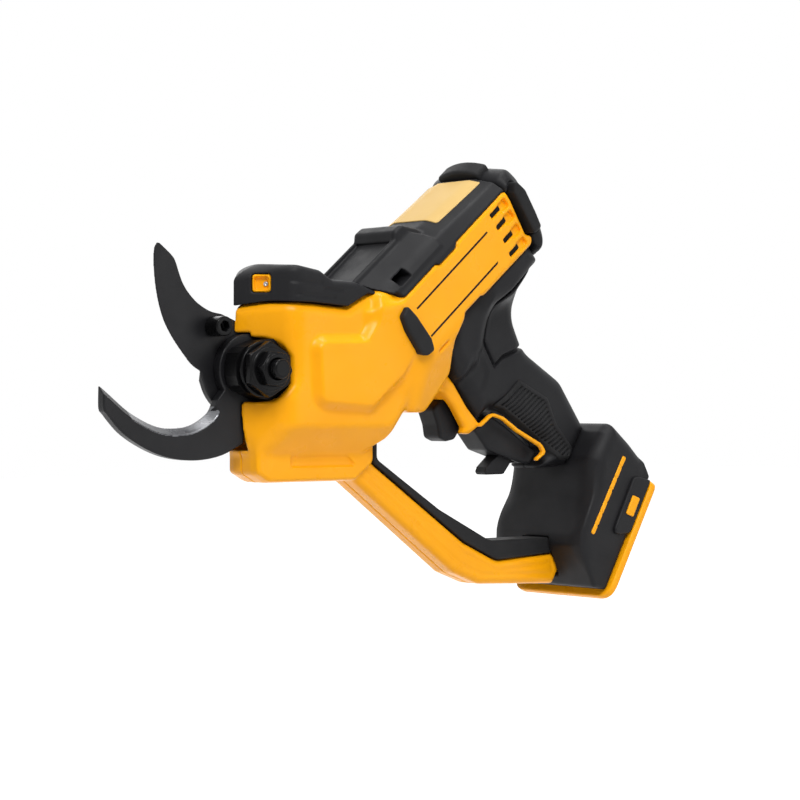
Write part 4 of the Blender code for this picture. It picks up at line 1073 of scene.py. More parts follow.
@dataclass
class Vents(Sided):
    """Dark bars sunk in the four slanted air slots of one motor panel: painted shade inside the
    slots.
    """

    name: str = "vent_shade_bars"
    node: str = ""
    finish: Finish = INNER
    slot: str = "dark_plastic"
    box: FieldBox = FieldBox((-48.0, 25.0, 72.0), (-22.0, 31.0, 104.0), step=0.4)
    half: Corner = (4.1, 1.35, 2.0)
    middle: float = 28.4

    # Middle of each slot, along and across the motor shaft
    SLOTS = ((110.6, 13.4), (110.0, 6.2), (109.2, -2.0), (107.9, -9.9))

    def field(self, x: Array, y: Array, z: Array) -> Array:
        """Distance to a flat dark bar in each slot, sunk below the face, that paints the shade in
        the slot.

        Args:
            x, y, z: Grids of place.

        Returns:
            Distance, below zero inside.
        """
        q, e = MOTOR.split(x, z)
        length, width, depth = self.half
        deep = (self.out(y) - self.middle, depth)
        return np.minimum.reduce([
            block((q - a, length), (e - b, width), deep, edge=0.3) for a, b in self.SLOTS
        ])


@dataclass
class NoseCap(Moulding):
    """Black cap over the gear head with score lines and a framed window in each swept face."""

    name: str = "nose_cover"
    node: str = "nose_cap"
    finish: Finish = BLACK
    slot: str = "black_plastic"
    box: FieldBox = FieldBox((-189.0, -28.0, 43.0), (-96.0, 28.0, 72.0), step=0.6)
    half: float = 25.3
    wall: float = 4.0
    room_half: float = 16.0
    room_front: float = -168.0
    seating: float = 0.25
    opening_half: Corner = (5.0, 4.6, 3.8)

    # Facet above the nose: how fast the distance past it grows along X, out and Z, and its foot
    FACET = (-0.51, 0.243, 0.825)
    FACET_Z = 61.5
    # Side outline, open towards the head below
    OUTLINE = rounded([
        (-190.0, 40.0, 0.0), (-190.0, 61.0, 2.0), (-180.0, 65.5, 6.0), (-171.5, 68.6, 6.0),
        (-163.0, 67.6, 6.0), (-149.5, 65.4, 4.0), (-142.0, 60.9, 5.0), (-128.0, 60.4, 1.0),
        (*MOTOR.at(27.0, 29.8), 1.5), (*MOTOR.at(33.5, 20.0), 1.0), (-112.0, 40.0, 0.0),
    ])
    LINES = (
        ((-166.0, 59.6), (-150.0, 58.6)),
        ((-164.0, 53.2), (-142.0, 51.6)),
        ((-148.0, 56.0), (-138.0, 55.2)),
    )

    @classmethod
    def shell(cls, x: Array, out: Array, z: Array) -> Array:
        """Outer form: the outline carried across, swept at the nose and faceted above it.

        Args:
            x, out, z: Grids of place.

        Returns:
            Distance to the form.
        """
        body = slab(cls.OUTLINE, x, out, z, cls.half, rim=4.5)
        ahead, aside, up = cls.FACET
        facet = aside * out + up * (z - cls.FACET_Z) + ahead * (x - NOSE_POINT)
        return common(common(body, bow(x, out), edge=4.0), facet, edge=2.0)

    def field(self, x: Array, y: Array, z: Array) -> Array:
        """Distance to the cap: its outer form less score lines, windows and the head.

        Args:
            x, y, z: Grids of place.

        Returns:
            Distance, below zero inside.
        """
        out = np.abs(y)
        body = self.shell(x, out, z)
        for run in self.LINES:
            body = scored(body, line_distance(run, x, z), width=0.8, depth=0.7)
        for outline in (Housing.HEAD, Housing.PANEL):
            body = without(body, beyond(outline, x, z) - self.seating, edge=0.3)
        along, up = Window.place(x, out, z)
        wide, high, deep = self.opening_half
        opening = block((along, wide), (up, high), (bow(x, out), deep), edge=1.6)
        body = without(body, opening, edge=0.5)
        inside = beyond(self.OUTLINE, x, z) + self.wall
        return without(body, every(inside, out - self.room_half, self.room_front - x))


@dataclass
class Window(Moulding):
    """Yellow framed recess in each swept face of the nose cap, both as one piece."""

    name: str = "nose_windows"
    node: str = ""
    finish: Finish = YELLOW
    slot: str = "yellow_plastic"
    box: FieldBox = FieldBox((-186.0, -20.0, 52.0), (-166.0, 20.0, 66.0), step=0.35)
    frame_half: Corner = (4.85, 4.45, 1.75)
    frame_sunk: float = 2.0
    recess_half: Corner = (3.7, 3.3, 2.6)
    below_face: float = 0.1
    between: float = 1.5

    # Place of the middle: distance along the swept face from a point of it, and height
    FACE_START = -184.0
    ALONG = 13.0
    HEIGHT = 58.4

    @classmethod
    def place(cls, x: Array, out: Array, z: Array) -> tuple[Array, Array]:
        """Distances along the swept face and up from the middle of a window.

        Args:
            x, out, z: Grids of place.

        Returns:
            Distance along the face and distance up.
        """
        along = NOSE_SWEEP.first * (x - cls.FACE_START) - NOSE_SWEEP.second * out
        return along - cls.ALONG, z - cls.HEIGHT

    def field(self, x: Array, y: Array, z: Array) -> Array:
        """Distance to the frames: a filled block less a recess.

        Args:
            x, y, z: Grids of place.

        Returns:
            Distance, below zero inside.
        """
        out = np.abs(y)
        along, up = self.place(x, out, z)
        face = bow(x, out)
        wide, high, deep = self.frame_half
        body = block((along, wide), (up, high), (face + self.frame_sunk, deep), edge=1.5)
        wide, high, deep = self.recess_half
        recess = block((along, wide), (up, high), (face, deep), edge=1.2)
        body = without(body, recess, edge=0.4)
        return every(body, NoseCap.shell(x, out, z) + self.below_face, self.between - out)


@dataclass
class WindowScrew(Moulding):
    """Small bright screw at the back of each nose window, both as one piece."""

    name: str = "nose_screws"
    node: str = ""
    finish: Finish = STEEL
    slot: str = "steel"
    box: FieldBox = FieldBox((-182.0, -20.0, 54.0), (-164.0, 20.0, 62.0), step=0.25)
    radius: float = 1.25
    half: float = 0.9
    arm: float = 0.8
    blade: float = 0.2
    slot_depth: float = 0.5
    shift: Point = (1.9, -0.3)
    sunk: float = 2.7
    between: float = 1.5

    def field(self, x: Array, y: Array, z: Array) -> Array:
        """Distance to a rounded head with a cross slot, square to the swept face.

        Args:
            x, y, z: Grids of place.

        Returns:
            Distance, below zero inside.
        """
        out = np.abs(y)
        along, up = Window.place(x, out, z)
        along, up = along - self.shift[0], up - self.shift[1]
        deep = bow(x, out) + self.sunk
        body = carried(np.sqrt(along * along + up * up) - self.radius, deep, self.half, rim=0.4)
        for wide, high in ((self.arm, self.blade), (self.blade, self.arm)):
            top = (deep - self.half, self.slot_depth)
            body = without(body, block((along, wide), (up, high), top))
        return every(body, self.between - out)


def sunken(q: Array, e: Array) -> Array:
    """Place across the shaft, raised where the crown of the motor end sinks towards the rear.

    Args:
        q: Place along the shaft.
        e: Place across the shaft.

    Returns:
        Place across the shaft on a crown that doesn't sink.
    """
    fall, start, length = 0.075, 78.0, 60.0
    crease, crown = 18.5, 27.5
    return e + fall * np.clip(q - start, 0.0, length) * ramp(e, crease, crown)


@dataclass
class MotorCover(Moulding):
    """Black arched cover over the motor, with a raised hump towards the nose."""

    name: str = "motor_arch"
    node: str = "motor_cover"
    finish: Finish = BLACK
    slot: str = "black_plastic"
    box: FieldBox = FieldBox((-140.0, -34.0, 46.0), (-34.0, 34.0, 124.0), step=0.65)
    rear: float = 122.7
    front: float = 26.0
    front_flat: float = 14.0
    front_slope: float = 0.55
    hump_half: float = 17.5
    flare_inset: float = 3.0
    tray_half: float = 14.6
    tray_floor: float = 36.4
    tray_ends: Point = (18.0, 57.0)
    slot_middle: Corner = (42.2, 25.4, 31.0)
    slot_half: Corner = (4.6, 2.4, 17.0)
    through: float = 40.0

    # Cross-section of the arch: steep flanks, a crease and a flat crown
    ARCH = rounded(mirrored([
        (MOTOR_HALF, 0.0, 0.0), (MOTOR_HALF, 18.5, 2.0), (26.5, 26.5, 5.0), (13.0, 31.2, 16.0),
    ]))
    # Side outline of the hump
    HUMP = rounded([
        (*MOTOR.at(20.0, 20.0), 1.0), (*MOTOR.at(20.5, 39.0), 2.0), (*MOTOR.at(57.5, 38.6), 1.5),
        (*MOTOR.at(60.5, 41.6), 3.0), (*MOTOR.at(66.5, 41.2), 4.0), (*MOTOR.at(73.5, 33.0), 4.0),
        (*MOTOR.at(75.0, 29.0), 2.0), (*MOTOR.at(74.0, 20.0), 1.0),
    ])
    # Slanting sides of the hump: their slope, and a point on them from the middle plane and shaft
    FLARE = Facet(0.75, 0.66)
    FLARE_AT = (17.0, 37.0)

    @classmethod
    def section(cls, q: Array, out: Array, e: Array) -> Array:
        """Distance to the cross-section of the arch, that sinks a little towards the rear.

        Args:
            q, out, e: Grids along the shaft, from the middle plane and across the shaft.

        Returns:
            Distance, below zero inside.
        """
        q, out, e = np.broadcast_arrays(q, out, e)
        return beyond(cls.ARCH, out, sunken(q, e))

    def field(self, x: Array, y: Array, z: Array) -> Array:
        """Distance to the cover: arch and hump, less the neighbours and the motor space.

        Args:
            x, y, z: Grids of place.

        Returns:
            Distance, below zero inside.
        """
        out = np.abs(y)
        q, e = MOTOR.split(x, z)
        front = self.front - q + self.front_slope * np.maximum(out - self.front_flat, 0.0)
        body = every(self.section(q, out, e), q - self.rear, front)
        side = beyond(self.HUMP, x, z)
        hump = carried(side, out, self.hump_half, rim=2.5)
        slant = self.FLARE.past(out - self.FLARE_AT[0], e - self.FLARE_AT[1])
        flare = every(side + self.flare_inset, slant)
        body = joined(body, joined(hump, flare, fillet=1.0), fillet=2.0)
        front, rear = self.tray_ends
        tray = every(out - self.tray_half, self.tray_floor - e, q - rear, front - q)
        body = without(body, tray, edge=1.0)
        offsets = [grid - at for grid, at in zip((q, e, out), self.slot_middle)]
        body = without(body, block(*zip(offsets, self.slot_half), edge=0.4), edge=0.3)
        for outline in (Housing.PANEL, Housing.HEAD, NoseCap.OUTLINE):
            cut = every(beyond(outline, x, z) - FIT, out - self.through)
            body = without(body, cut, edge=0.3)
        return without(body, motor_space(q, e, y))


@dataclass
class Sticker(Moulding):
    """Pale sticker on the crown of the motor cover."""

    name: str = "crown_sticker"
    node: str = ""
    finish: Finish = LABEL
    slot: str = "yellow_plastic"
    box: FieldBox = FieldBox((-82.0, -28.0, 80.0), (-34.0, 28.0, 122.0), step=0.45)
    proud: float = 0.45
    thick: float = 1.6
    middle: Point = (102.0, 1.5)
    half: Point = (18.8, 21.5)

    def field(self, x: Array, y: Array, z: Array) -> Array:
        """Distance to a thin skin on the arch, trimmed to a rounded rectangle.

        Args:
            x, y, z: Grids of place.

        Returns:
            Distance, below zero inside.
        """
        q, e = MOTOR.split(x, z)
        arch = MotorCover.section(q, np.abs(y), e) - self.proud
        offsets = (q - self.middle[0], y - self.middle[1])
        sheet = block(*zip(offsets, self.half), edge=1.5)
        return every(arch, -arch - self.thick, sheet)


@dataclass
class RearCap(Moulding):
    """Black cap that closes the motor end, rounded down towards the grip."""

    name: str = "rear_end"
    node: str = "rear_cap"
    finish: Finish = BLACK
    slot: str = "black_plastic"
    box: FieldBox = FieldBox((-48.0, -34.0, 70.0), (12.0, 34.0, 132.0), step=0.65)
    hollow_radius: float = 25.0
    hollow_rear: float = 131.0
    wall: float = 3.0
    groove_from: float = 20.0
    slot_pitch: float = 5.0
    slot_half: Corner = (1.1, 15.0, 8.0)
    slot_middle: float = 141.4

    # Cross-section of the motor end, and side outline along and across the shaft
    RING = rounded(mirrored([
        (16.0, -31.0, 10.0), (MOTOR_HALF, -22.0, 10.0), (MOTOR_HALF, 18.5, 3.0),
        (26.5, 26.5, 5.0), (13.0, 31.2, 16.0),
    ]))
    OUTLINE = rounded([
        (123.2, 40.0, 0.0), (132.0, 33.0, 3.0), (137.5, 22.0, 6.0), (140.5, 14.0, 6.0),
        (140.0, -2.0, 8.0), (134.6, -14.0, 8.0), (126.6, -26.0, 8.0), (123.2, -31.0, 2.0),
    ])
    CORNER = Facet(0.62, 0.78)
    CORNER_Q = 129.6

    def field(self, x: Array, y: Array, z: Array) -> Array:
        """Distance to the cap: cross-section of the barrel under a rounded side outline.

        Args:
            x, y, z: Grids of place.

        Returns:
            Distance, below zero inside.
        """
        out = np.abs(y)
        q, e = MOTOR.split(x, z)
        body = beyond(self.RING, *np.broadcast_arrays(out, sunken(q, e)))
        side = beyond(self.OUTLINE, q, e)
        body = common(body, side, edge=7.0)
        body = common(body, self.CORNER.past(q - self.CORNER_Q, out - MOTOR_HALF), edge=4.0)
        pad = beyond(rounded(RearBumper.outline), q, e)
        grooved = scored(body, np.abs(pad - FIT), width=0.7, depth=1.5)
        body = np.where(out > self.groove_from, grooved, body)
        for row in range(-3, 3):
            offsets = (e - self.slot_pitch * row, y, q - self.slot_middle)
            body = without(body, block(*zip(offsets, self.slot_half), edge=0.6), edge=0.5)
        hollow = every(np.sqrt(e * e + y * y) - self.hollow_radius, q - self.hollow_rear)
        return without(body, every(hollow, side + self.wall))


@dataclass
class CrownBumper(Moulding):
    """Soft pad across the top of the motor end."""

    name: str = "crown_bumper"
    node: str = "top_bumper"
    finish: Finish = RUBBER
    slot: str = "black_rubber"
    box: FieldBox = FieldBox((-58.0, -19.0, 110.0), (-28.0, 19.0, 134.0), step=0.5)
    middle: Point = (128.6, 26.0)
    half: Corner = (4.8, 16.0, 12.0)
    crest: float = 32.2
    bend: float = 0.011

    def field(self, x: Array, y: Array, z: Array) -> Array:
        """Distance to a block under a crown that falls with the square of y.

        Args:
            x, y, z: Grids of place.

        Returns:
            Distance, below zero inside.
        """
        q, e = MOTOR.split(x, z)
        offsets = (q - self.middle[0], y, e - self.middle[1])
        bar = block(*zip(offsets, self.half), edge=1.5)
        return common(bar, e - (self.crest - self.bend * y * y), edge=2.0)


@dataclass(kw_only=True)
class SideBumper(Sided):
    """Soft pad proud of a motor panel: an outline along and across the motor shaft."""

    outline: tuple[Corner, ...]
    reach: float
    root: float

    def field(self, x: Array, y: Array, z: Array) -> Array:
        """Distance to the pad, between its root and its reach.

        Args:
            x, y, z: Grids of place.

        Returns:
            Distance, below zero inside.
        """
        out = self.out(y)
        flat = beyond(rounded(self.outline), *MOTOR.split(x, z))
        pad = carried(flat, out - CARRY_FROM, self.reach - CARRY_FROM, rim=1.6)
        return every(pad, self.root - out)


@dataclass
class FrontBumper(SideBumper):
    """Pad at the front of a motor panel."""

    name: str = "front_pad"
    node: str = "front_bumper"
    finish: Finish = RUBBER
    slot: str = "black_rubber"
    box: FieldBox = FieldBox((-112.0, 28.0, 16.0), (-82.0, 36.0, 52.0), step=0.45)
    outline: tuple[Corner, ...] = (
        (31.5, 15.6, 1.5), (25.4, 13.6, 2.5), (23.4, 6.0, 3.0), (22.4, -8.5, 2.0),
        (25.4, -12.2, 2.0), (30.5, -12.8, 2.0), (32.8, -7.0, 3.0), (32.8, 8.0, 2.0),
    )
    reach: float = 34.8
    root: float = 28.5


@dataclass
class RearBumper(SideBumper):
    """Pad at the rear of a motor panel."""

    name: str = "rear_pad"
    node: str = "rear_bumper"
    finish: Finish = RUBBER
    slot: str = "black_rubber"
    box: FieldBox = FieldBox((-36.0, 22.0, 84.0), (-5.0, 36.0, 120.0), step=0.45)
    outline: tuple[Corner, ...] = (
        (125.4, 14.2, 2.0), (130.2, 19.8, 2.0), (132.6, 11.0, 4.0), (130.8, -2.0, 6.0),
        (129.0, -11.0, 2.0), (122.6, -10.8, 1.5), (124.2, 2.0, 5.0),
    )
    reach: float = 34.9
    root: float = 23.5


@dataclass
class Grip(Sided):
    """Black grip half with the belly under the motor, a seam and a thumb hollow."""

    name: str = "handle"
    node: str = "grip"
    finish: Finish = BLACK
    slot: str = "black_plastic"
    box: FieldBox = FieldBox((-68.0, -0.7, -46.0), (46.0, 31.5, 92.0), step=0.6)
    half: float = 17.0
    belly_half: float = 29.5
    neck_half: float = 24.0
    thumb_depth: float = 0.9
    thumb_slope: float = 3.0
    trim_root: float = 10.0

    # Side outlines of the handle, of the throat below the motor and of the thumb hollow
    OUTLINE = rounded([
        (*MOTOR.at(82.0, -10.0), 0.0), (-64.0, 45.0, 6.0), (-64.0, 28.0, 8.0), (-55.0, 10.4, 6.0),
        (-38.0, -10.6, 2.0), (-29.5, -4.0, 4.0), (-23.0, -5.2, 3.0), (5.5, -20.8, 3.0),
        (11.0, -27.5, 3.0), (5.0, -36.0, 2.0), (26.5, -35.0, 8.0), (34.0, -26.0, 6.0),
        (40.0, -14.0, 6.0), (22.0, 11.5, 14.0), (-5.0, 28.0, 22.0), (-13.5, 46.0, 16.0),
        (-8.0, 62.0, 8.0), (*MOTOR.at(122.5, -30.0), 6.0), (*MOTOR.at(122.5, -10.0), 0.0),
    ])
    THROAT = rounded([
        (-64.0, 45.0, 6.0), (-66.0, 28.0, 8.0), (-56.0, 10.0, 4.0), (-42.0, 20.0, 8.0),
        (-36.0, 50.0, 8.0), (*MOTOR.at(84.0, -12.0), 2.0),
    ])
    THUMB = rounded([
        (-52.0, 24.0, 6.0), (-50.0, 8.0, 4.0), (-38.0, 4.0, 6.0), (-34.0, 16.0, 5.0),
        (-42.0, 28.0, 6.0),
    ])
    # Outline of the belly along and across the motor shaft, and the run of the seam
    BELLY = rounded([
        (78.0, -8.0, 0.0), (76.0, -25.0, 4.0), (96.0, -32.0, 8.0), (122.7, -28.0, 4.0),
        (122.7, -8.0, 0.0),
    ])
    SEAM = (
        (-9.7, 72.1), (-34.6, 51.5), (-37.6, 33.0), (-29.1, 18.9), (-23.5, 23.7), (-6.0, 30.0),
    )

    def surface(self, x: Array, out: Array, z: Array) -> Array:
        """Handle before anything is cut into it: three outlines carried across and blended.

        Args:
            x, out, z: Grids of place.

        Returns:
            Distance to the handle.
        """
        q, e = MOTOR.split(x, z)
        handle = slab(self.OUTLINE, x, out, z, self.half, rim=10.0)
        belly = carried(beyond(self.BELLY, q, e), out, self.belly_half, rim=10.0)
        neck = slab(self.THROAT, x, out, z, self.neck_half, rim=8.0)
        return joined(joined(handle, belly, fillet=9.0), neck, fillet=6.0)

    def field(self, x: Array, y: Array, z: Array) -> Array:
        """Distance to the half, less its neighbours and the trigger wells.

        Args:
            x, y, z: Grids of place.

        Returns:
            Distance, below zero inside.
        """
        out = self.out(y)
        body = self.surface(x, out, z)
        body = scored(body, line_distance(self.SEAM, x, z), width=0.9, depth=2.4)
        thumb = np.clip(0.5 - beyond(self.THUMB, x, z) / self.thumb_slope, 0.0, 1.0)
        body = body + self.thumb_depth * thumb
        for outline in (Housing.PANEL, Housing.BRIDGE):
            body = without(body, beyond(outline, x, z) - FIT, edge=0.5)
        trim = every(beyond(Housing.TRIM, x, z) - FIT, self.trim_root - out)
        body = without(body, trim, edge=0.4)
        body = without(body, motor_space(*MOTOR.split(x, z), y))
        for room in (Trigger.room(Trigger.UPPER), Trigger.room(Trigger.LOWER), Catch.room()):
            body = without(body, slab(room, x, out, z, WELL_HALF), edge=0.4)
        return every(body, PARTING - out)


@dataclass
class GripPanel(Sided):
    """Ribbed panel let into the side of the handle."""

    name: str = "ribbed_panel"
    node: str = "grip_panel"
    finish: Finish = RUBBER
    slot: str = "black_rubber"
    box: FieldBox = FieldBox((-34.0, 6.0, -37.0), (30.0, 20.0, 16.0), step=0.38)
    rim_height: float = 1.5
    rim_width: float = 2.0
    rim_slope: float = 0.6
    rib_pitch: float = 2.5
    rib_height: float = 1.4
    rib_floor: float = 1.8
    edge_width: float = 1.4
    edge_fall: float = 0.7
    root: float = 10.2

    OUTLINE = rounded([
        (-29.0, -2.6, 2.0), (-12.6, 11.7, 2.0), (7.7, 2.0, 4.0), (13.7, -11.4, 6.0),
        (26.4, -25.5, 2.5), (25.0, -31.0, 2.5), (18.0, -31.5, 4.0), (8.5, -24.0, 6.0),
        (-12.0, -10.6, 8.0), (-22.0, -4.6, 4.0),
    ])
    ACROSS_RIBS = Facet(0.625, -0.78)
    FIRST_RIB = (-30.0, -2.4)

    def field(self, x: Array, y: Array, z: Array) -> Array:
        """Distance to the panel: a raised skin of the handle with even ribs inside a rim.

        The ribs are the root of a raised cosine of the distance across them.

        Args:
            x, y, z: Grids of place.

        Returns:
            Distance, below zero inside.
        """
        out = self.out(y)
        handle = Grip(side=self.side).surface(x, out, z)
        flat = beyond(self.OUTLINE, x, z)
        phase = self.ACROSS_RIBS.past(x - self.FIRST_RIB[0], z - self.FIRST_RIB[1])
        ribs = 0.5 + 0.5 * np.cos(phase * (2.0 * np.pi / self.rib_pitch))
        inside = np.clip((-flat - self.rim_width) / self.rim_slope, 0.0, 1.0)
        height = self.rim_height + inside * (self.rib_height * np.sqrt(ribs) - self.rib_floor)
        edge = ramp(flat, -self.edge_width, 0.0)
        body = handle - height + self.edge_fall * edge * edge
        return every(body, flat, self.root - out)


@dataclass
class Foot(Moulding):
    """Black battery foot: a neck that flares to a flat sole."""

    name: str = "battery_foot"
    node: str = "foot_housing"
    finish: Finish = BLACK
    slot: str = "black_plastic"
    box: FieldBox = FieldBox((8.0, -38.0, -102.0), (72.0, 38.0, -8.0), step=0.65)
    half: float = 36.0
    soft_rim: float = 9.0
    sole_rim: float = 2.0
    fade_z: Point = (-60.0, -35.0)
    fade_down: Point = (78.0, 68.0)
    dish_radius: float = 22.0
    dish_middle: Corner = (6.0, 45.0, -38.0)
    dish_stretch: float = 1.25
    guard_gap_half: float = 10.3
    seating: float = 0.25

    # Side outline from the neck to the sole
    OUTLINE = rounded([
        (41.0, -10.4, 6.0), (55.5, -22.4, 10.0), (*sole(3.6, 73.0), 6.0), (*sole(-3.4, 78.7), 1.0),
        (*sole(-72.0, 78.7), 1.0), (*sole(-75.0, 70.0), 3.0), (14.6, -77.0, 4.0),
        (15.0, -71.0, 6.0), (24.0, -50.0, 20.0), (26.0, -30.0, 6.0), (35.0, -16.0, 4.0),
    ])
    # Slanting front corners: their slope, and a point on them by x and distance out
    FRONT = Facet(-0.78, 0.62)
    FRONT_AT = (13.0, 31.0)

    def field(self, x: Array, y: Array, z: Array) -> Array:
        """Distance to the foot: outline carried across with rims that sharpen, and a soft dish.

        Args:
            x, y, z: Grids of place.

        Returns:
            Distance, below zero inside.
        """
        out = np.abs(y)
        down = -FOOT.split(x, z)[1]
        flat = beyond(self.OUTLINE, x, z)
        fade = ramp(z, *self.fade_z) * ramp(down, *self.fade_down)
        soft = carried(flat, out, self.half, self.soft_rim)
        crisp = carried(flat, out, self.half, self.sole_rim)
        body = soft * fade + crisp * (1.0 - fade)
        front = self.FRONT.past(x - self.FRONT_AT[0], out - self.FRONT_AT[1])
        body = common(body, front, edge=5.0)
        dx, dy, dz = (grid - at for grid, at in zip((x, out, z), self.dish_middle))
        ball = np.sqrt(dx**2 + dy**2 + (dz / self.dish_stretch) ** 2)
        body = without(body, ball - self.dish_radius, edge=8.0)
        guard = slab(Housing.GUARD, x, out, z, self.guard_gap_half)
        lining = slab(Lining.OUTLINE, x, out, z, self.guard_gap_half)
        return without(body, np.minimum(guard, lining) - self.seating, edge=0.4)


@dataclass
class Lining(Moulding):
    """Rubber lining on the inside of the guard bar."""

    name: str = "guard_pad"
    node: str = "guard_lining"
    finish: Finish = RUBBER
    slot: str = "black_rubber"
    box: FieldBox = FieldBox((-108.0, -11.5, -87.0), (24.0, 11.5, -16.0), step=0.5)
    half: float = 10.0
    rim: float = 1.4

    # Side outline: a thin run down the bar and a thicker one along its foot
    OUTLINE = rounded([
        (-105.7, -18.8, 0.3), (-105.7, -30.7, 5.0), (-44.0, -73.6, 20.0), (-21.0, -84.2, 10.0),
        (20.3, -81.6, 0.5), (21.0, -76.8, 2.0), (16.7, -73.4, 3.0), (-26.0, -73.6, 10.0),
        (-61.2, -56.0, 20.0), (-102.6, -29.2, 4.0), (-102.6, -18.8, 0.3),
    ])

    def field(self, x: Array, y: Array, z: Array) -> Array:
        """Distance to the lining, below zero inside, on grids of place."""
        return slab(self.OUTLINE, x, y, z, self.half, self.rim)


@dataclass(kw_only=True)
class Trigger(Moulding):
    """Black trigger that slides along the motor shaft."""

    outline: tuple[Corner, ...]
    half: float = 9.0
    lever_half: float = 0.0

    PULL = 5.0
    SLACK = 0.4
    UPPER = (
        (-54.0, 5.0, 3.0), (-63.5, -3.5, 3.0), (-60.0, -12.0, 6.0), (-58.8, -18.8, 3.0),
        (-54.0, -20.8, 3.0), (-48.4, -19.8, 3.0), (-44.5, -14.5, 2.0), (-41.5, -8.5, 2.0),
    )
    LOWER = (
        (-36.5, -14.5, 2.0), (-26.8, -25.6, 4.0), (-14.0, -29.6, 3.0), (-2.0, -33.0, 3.0),
        (3.6, -33.4, 3.0), (7.6, -27.0, 2.0), (-13.0, -13.6, 2.0), (-24.0, -7.4, 3.0),
    )

    @classmethod
    def room(cls, corners: Sequence[Corner]) -> Array:
        """Outline grown by the pull of a trigger and some slack, as one convex run.

        Args:
            corners: Corners of the trigger's outline.

        Returns:
            Points of the grown outline.
        """
        base = rounded(corners, steps=4)
        way = np.array((math.cos(math.radians(MOTOR.tilt)), math.sin(math.radians(MOTOR.tilt))))
        pulled = base + (cls.PULL + cls.SLACK) * way
        return hull(np.concatenate((base, pulled, base - cls.SLACK * way)))

    @classmethod
    def make(cls, word: str, outline: tuple[Corner, ...], **more: float) -> "Trigger":
        """One trigger in a box that fits its outline.

        Args:
            word: Which trigger it is, as in the names of its node and body.
            outline: Corners of its side outline.
            more: Other fields.

        Returns:
            The trigger.
        """
        margin, reach = 2.0, 11.0
        x, z, _ = np.array(outline).T
        box = FieldBox(
            (float(x.min()) - margin, -reach, float(z.min()) - margin),
            (float(x.max()) + margin, reach, float(z.max()) + margin),
            step=0.4,
        )
        return cls(
            f"{word}_pull", f"{word}_trigger", BLACK, "black_plastic", box,
            body=f"{word}_trigger_body", outline=outline, **more,
        )

    @classmethod
    def pair(cls) -> list["Trigger"]:
        """The upper trigger, and the lower one that has a well for the lock lever."""
        upper = cls.make("upper", cls.UPPER, half=7.4)
        return [upper, cls.make("lower", cls.LOWER, lever_half=5.0)]

    def field(self, x: Array, y: Array, z: Array) -> Array:
        """Distance to the trigger: outline with soft rims, less any well for the lever.

        Args:
            x, y, z: Grids of place.

        Returns:
            Distance, below zero inside.
        """
        body = slab(rounded(self.outline), x, y, z, self.half, rim=2.0)
        if self.lever_half:
            body = without(body, slab(Catch.room(), x, y, z, self.lever_half), edge=0.4)
        return body


@dataclass
class Catch(Moulding):
    """Lock lever in front of the lower trigger."""

    name: str = "lock_lever"
    node: str = "lock_catch"
    finish: Finish = BLACK
    slot: str = "black_plastic"
    box: FieldBox = FieldBox((-29.0, -6.5, -41.0), (1.0, 6.5, -23.0), step=0.3)
    body: str = "catch_body"
    half: float = 4.5
    rim: float = 0.9

    AXIS = np.array((-15.5, -35.5))
    TURNS = (-0.02, 0.11, 0.22)
    OUTLINE = rounded([
        (-16.0, -28.0, 1.0), (-24.0, -34.8, 1.5), (-25.2, -37.4, 1.2), (-24.0, -38.9, 0.8),
        (-11.8, -38.8, 2.0), (-2.4, -27.2, 1.0), (-4.4, -25.4, 1.0),
    ])

    @classmethod
    def room(cls) -> Array:
        """Outline swept by the tilt of the lever, with a small gap.

        Returns:
            Points of the swept outline.
        """
        spread = [cls.OUTLINE]
        dx, dz = (cls.OUTLINE - cls.AXIS).T
        for turn in cls.TURNS:
            c, s = math.cos(turn), math.sin(turn)
            spread.append(cls.AXIS + np.column_stack((dx * c + dz * s, dz * c - dx * s)))
        return hull(np.concatenate(spread), grow=0.4)

    def field(self, x: Array, y: Array, z: Array) -> Array:
        """Distance to the lever, below zero inside, on grids of place."""
        return slab(self.OUTLINE, x, y, z, self.half, self.rim)


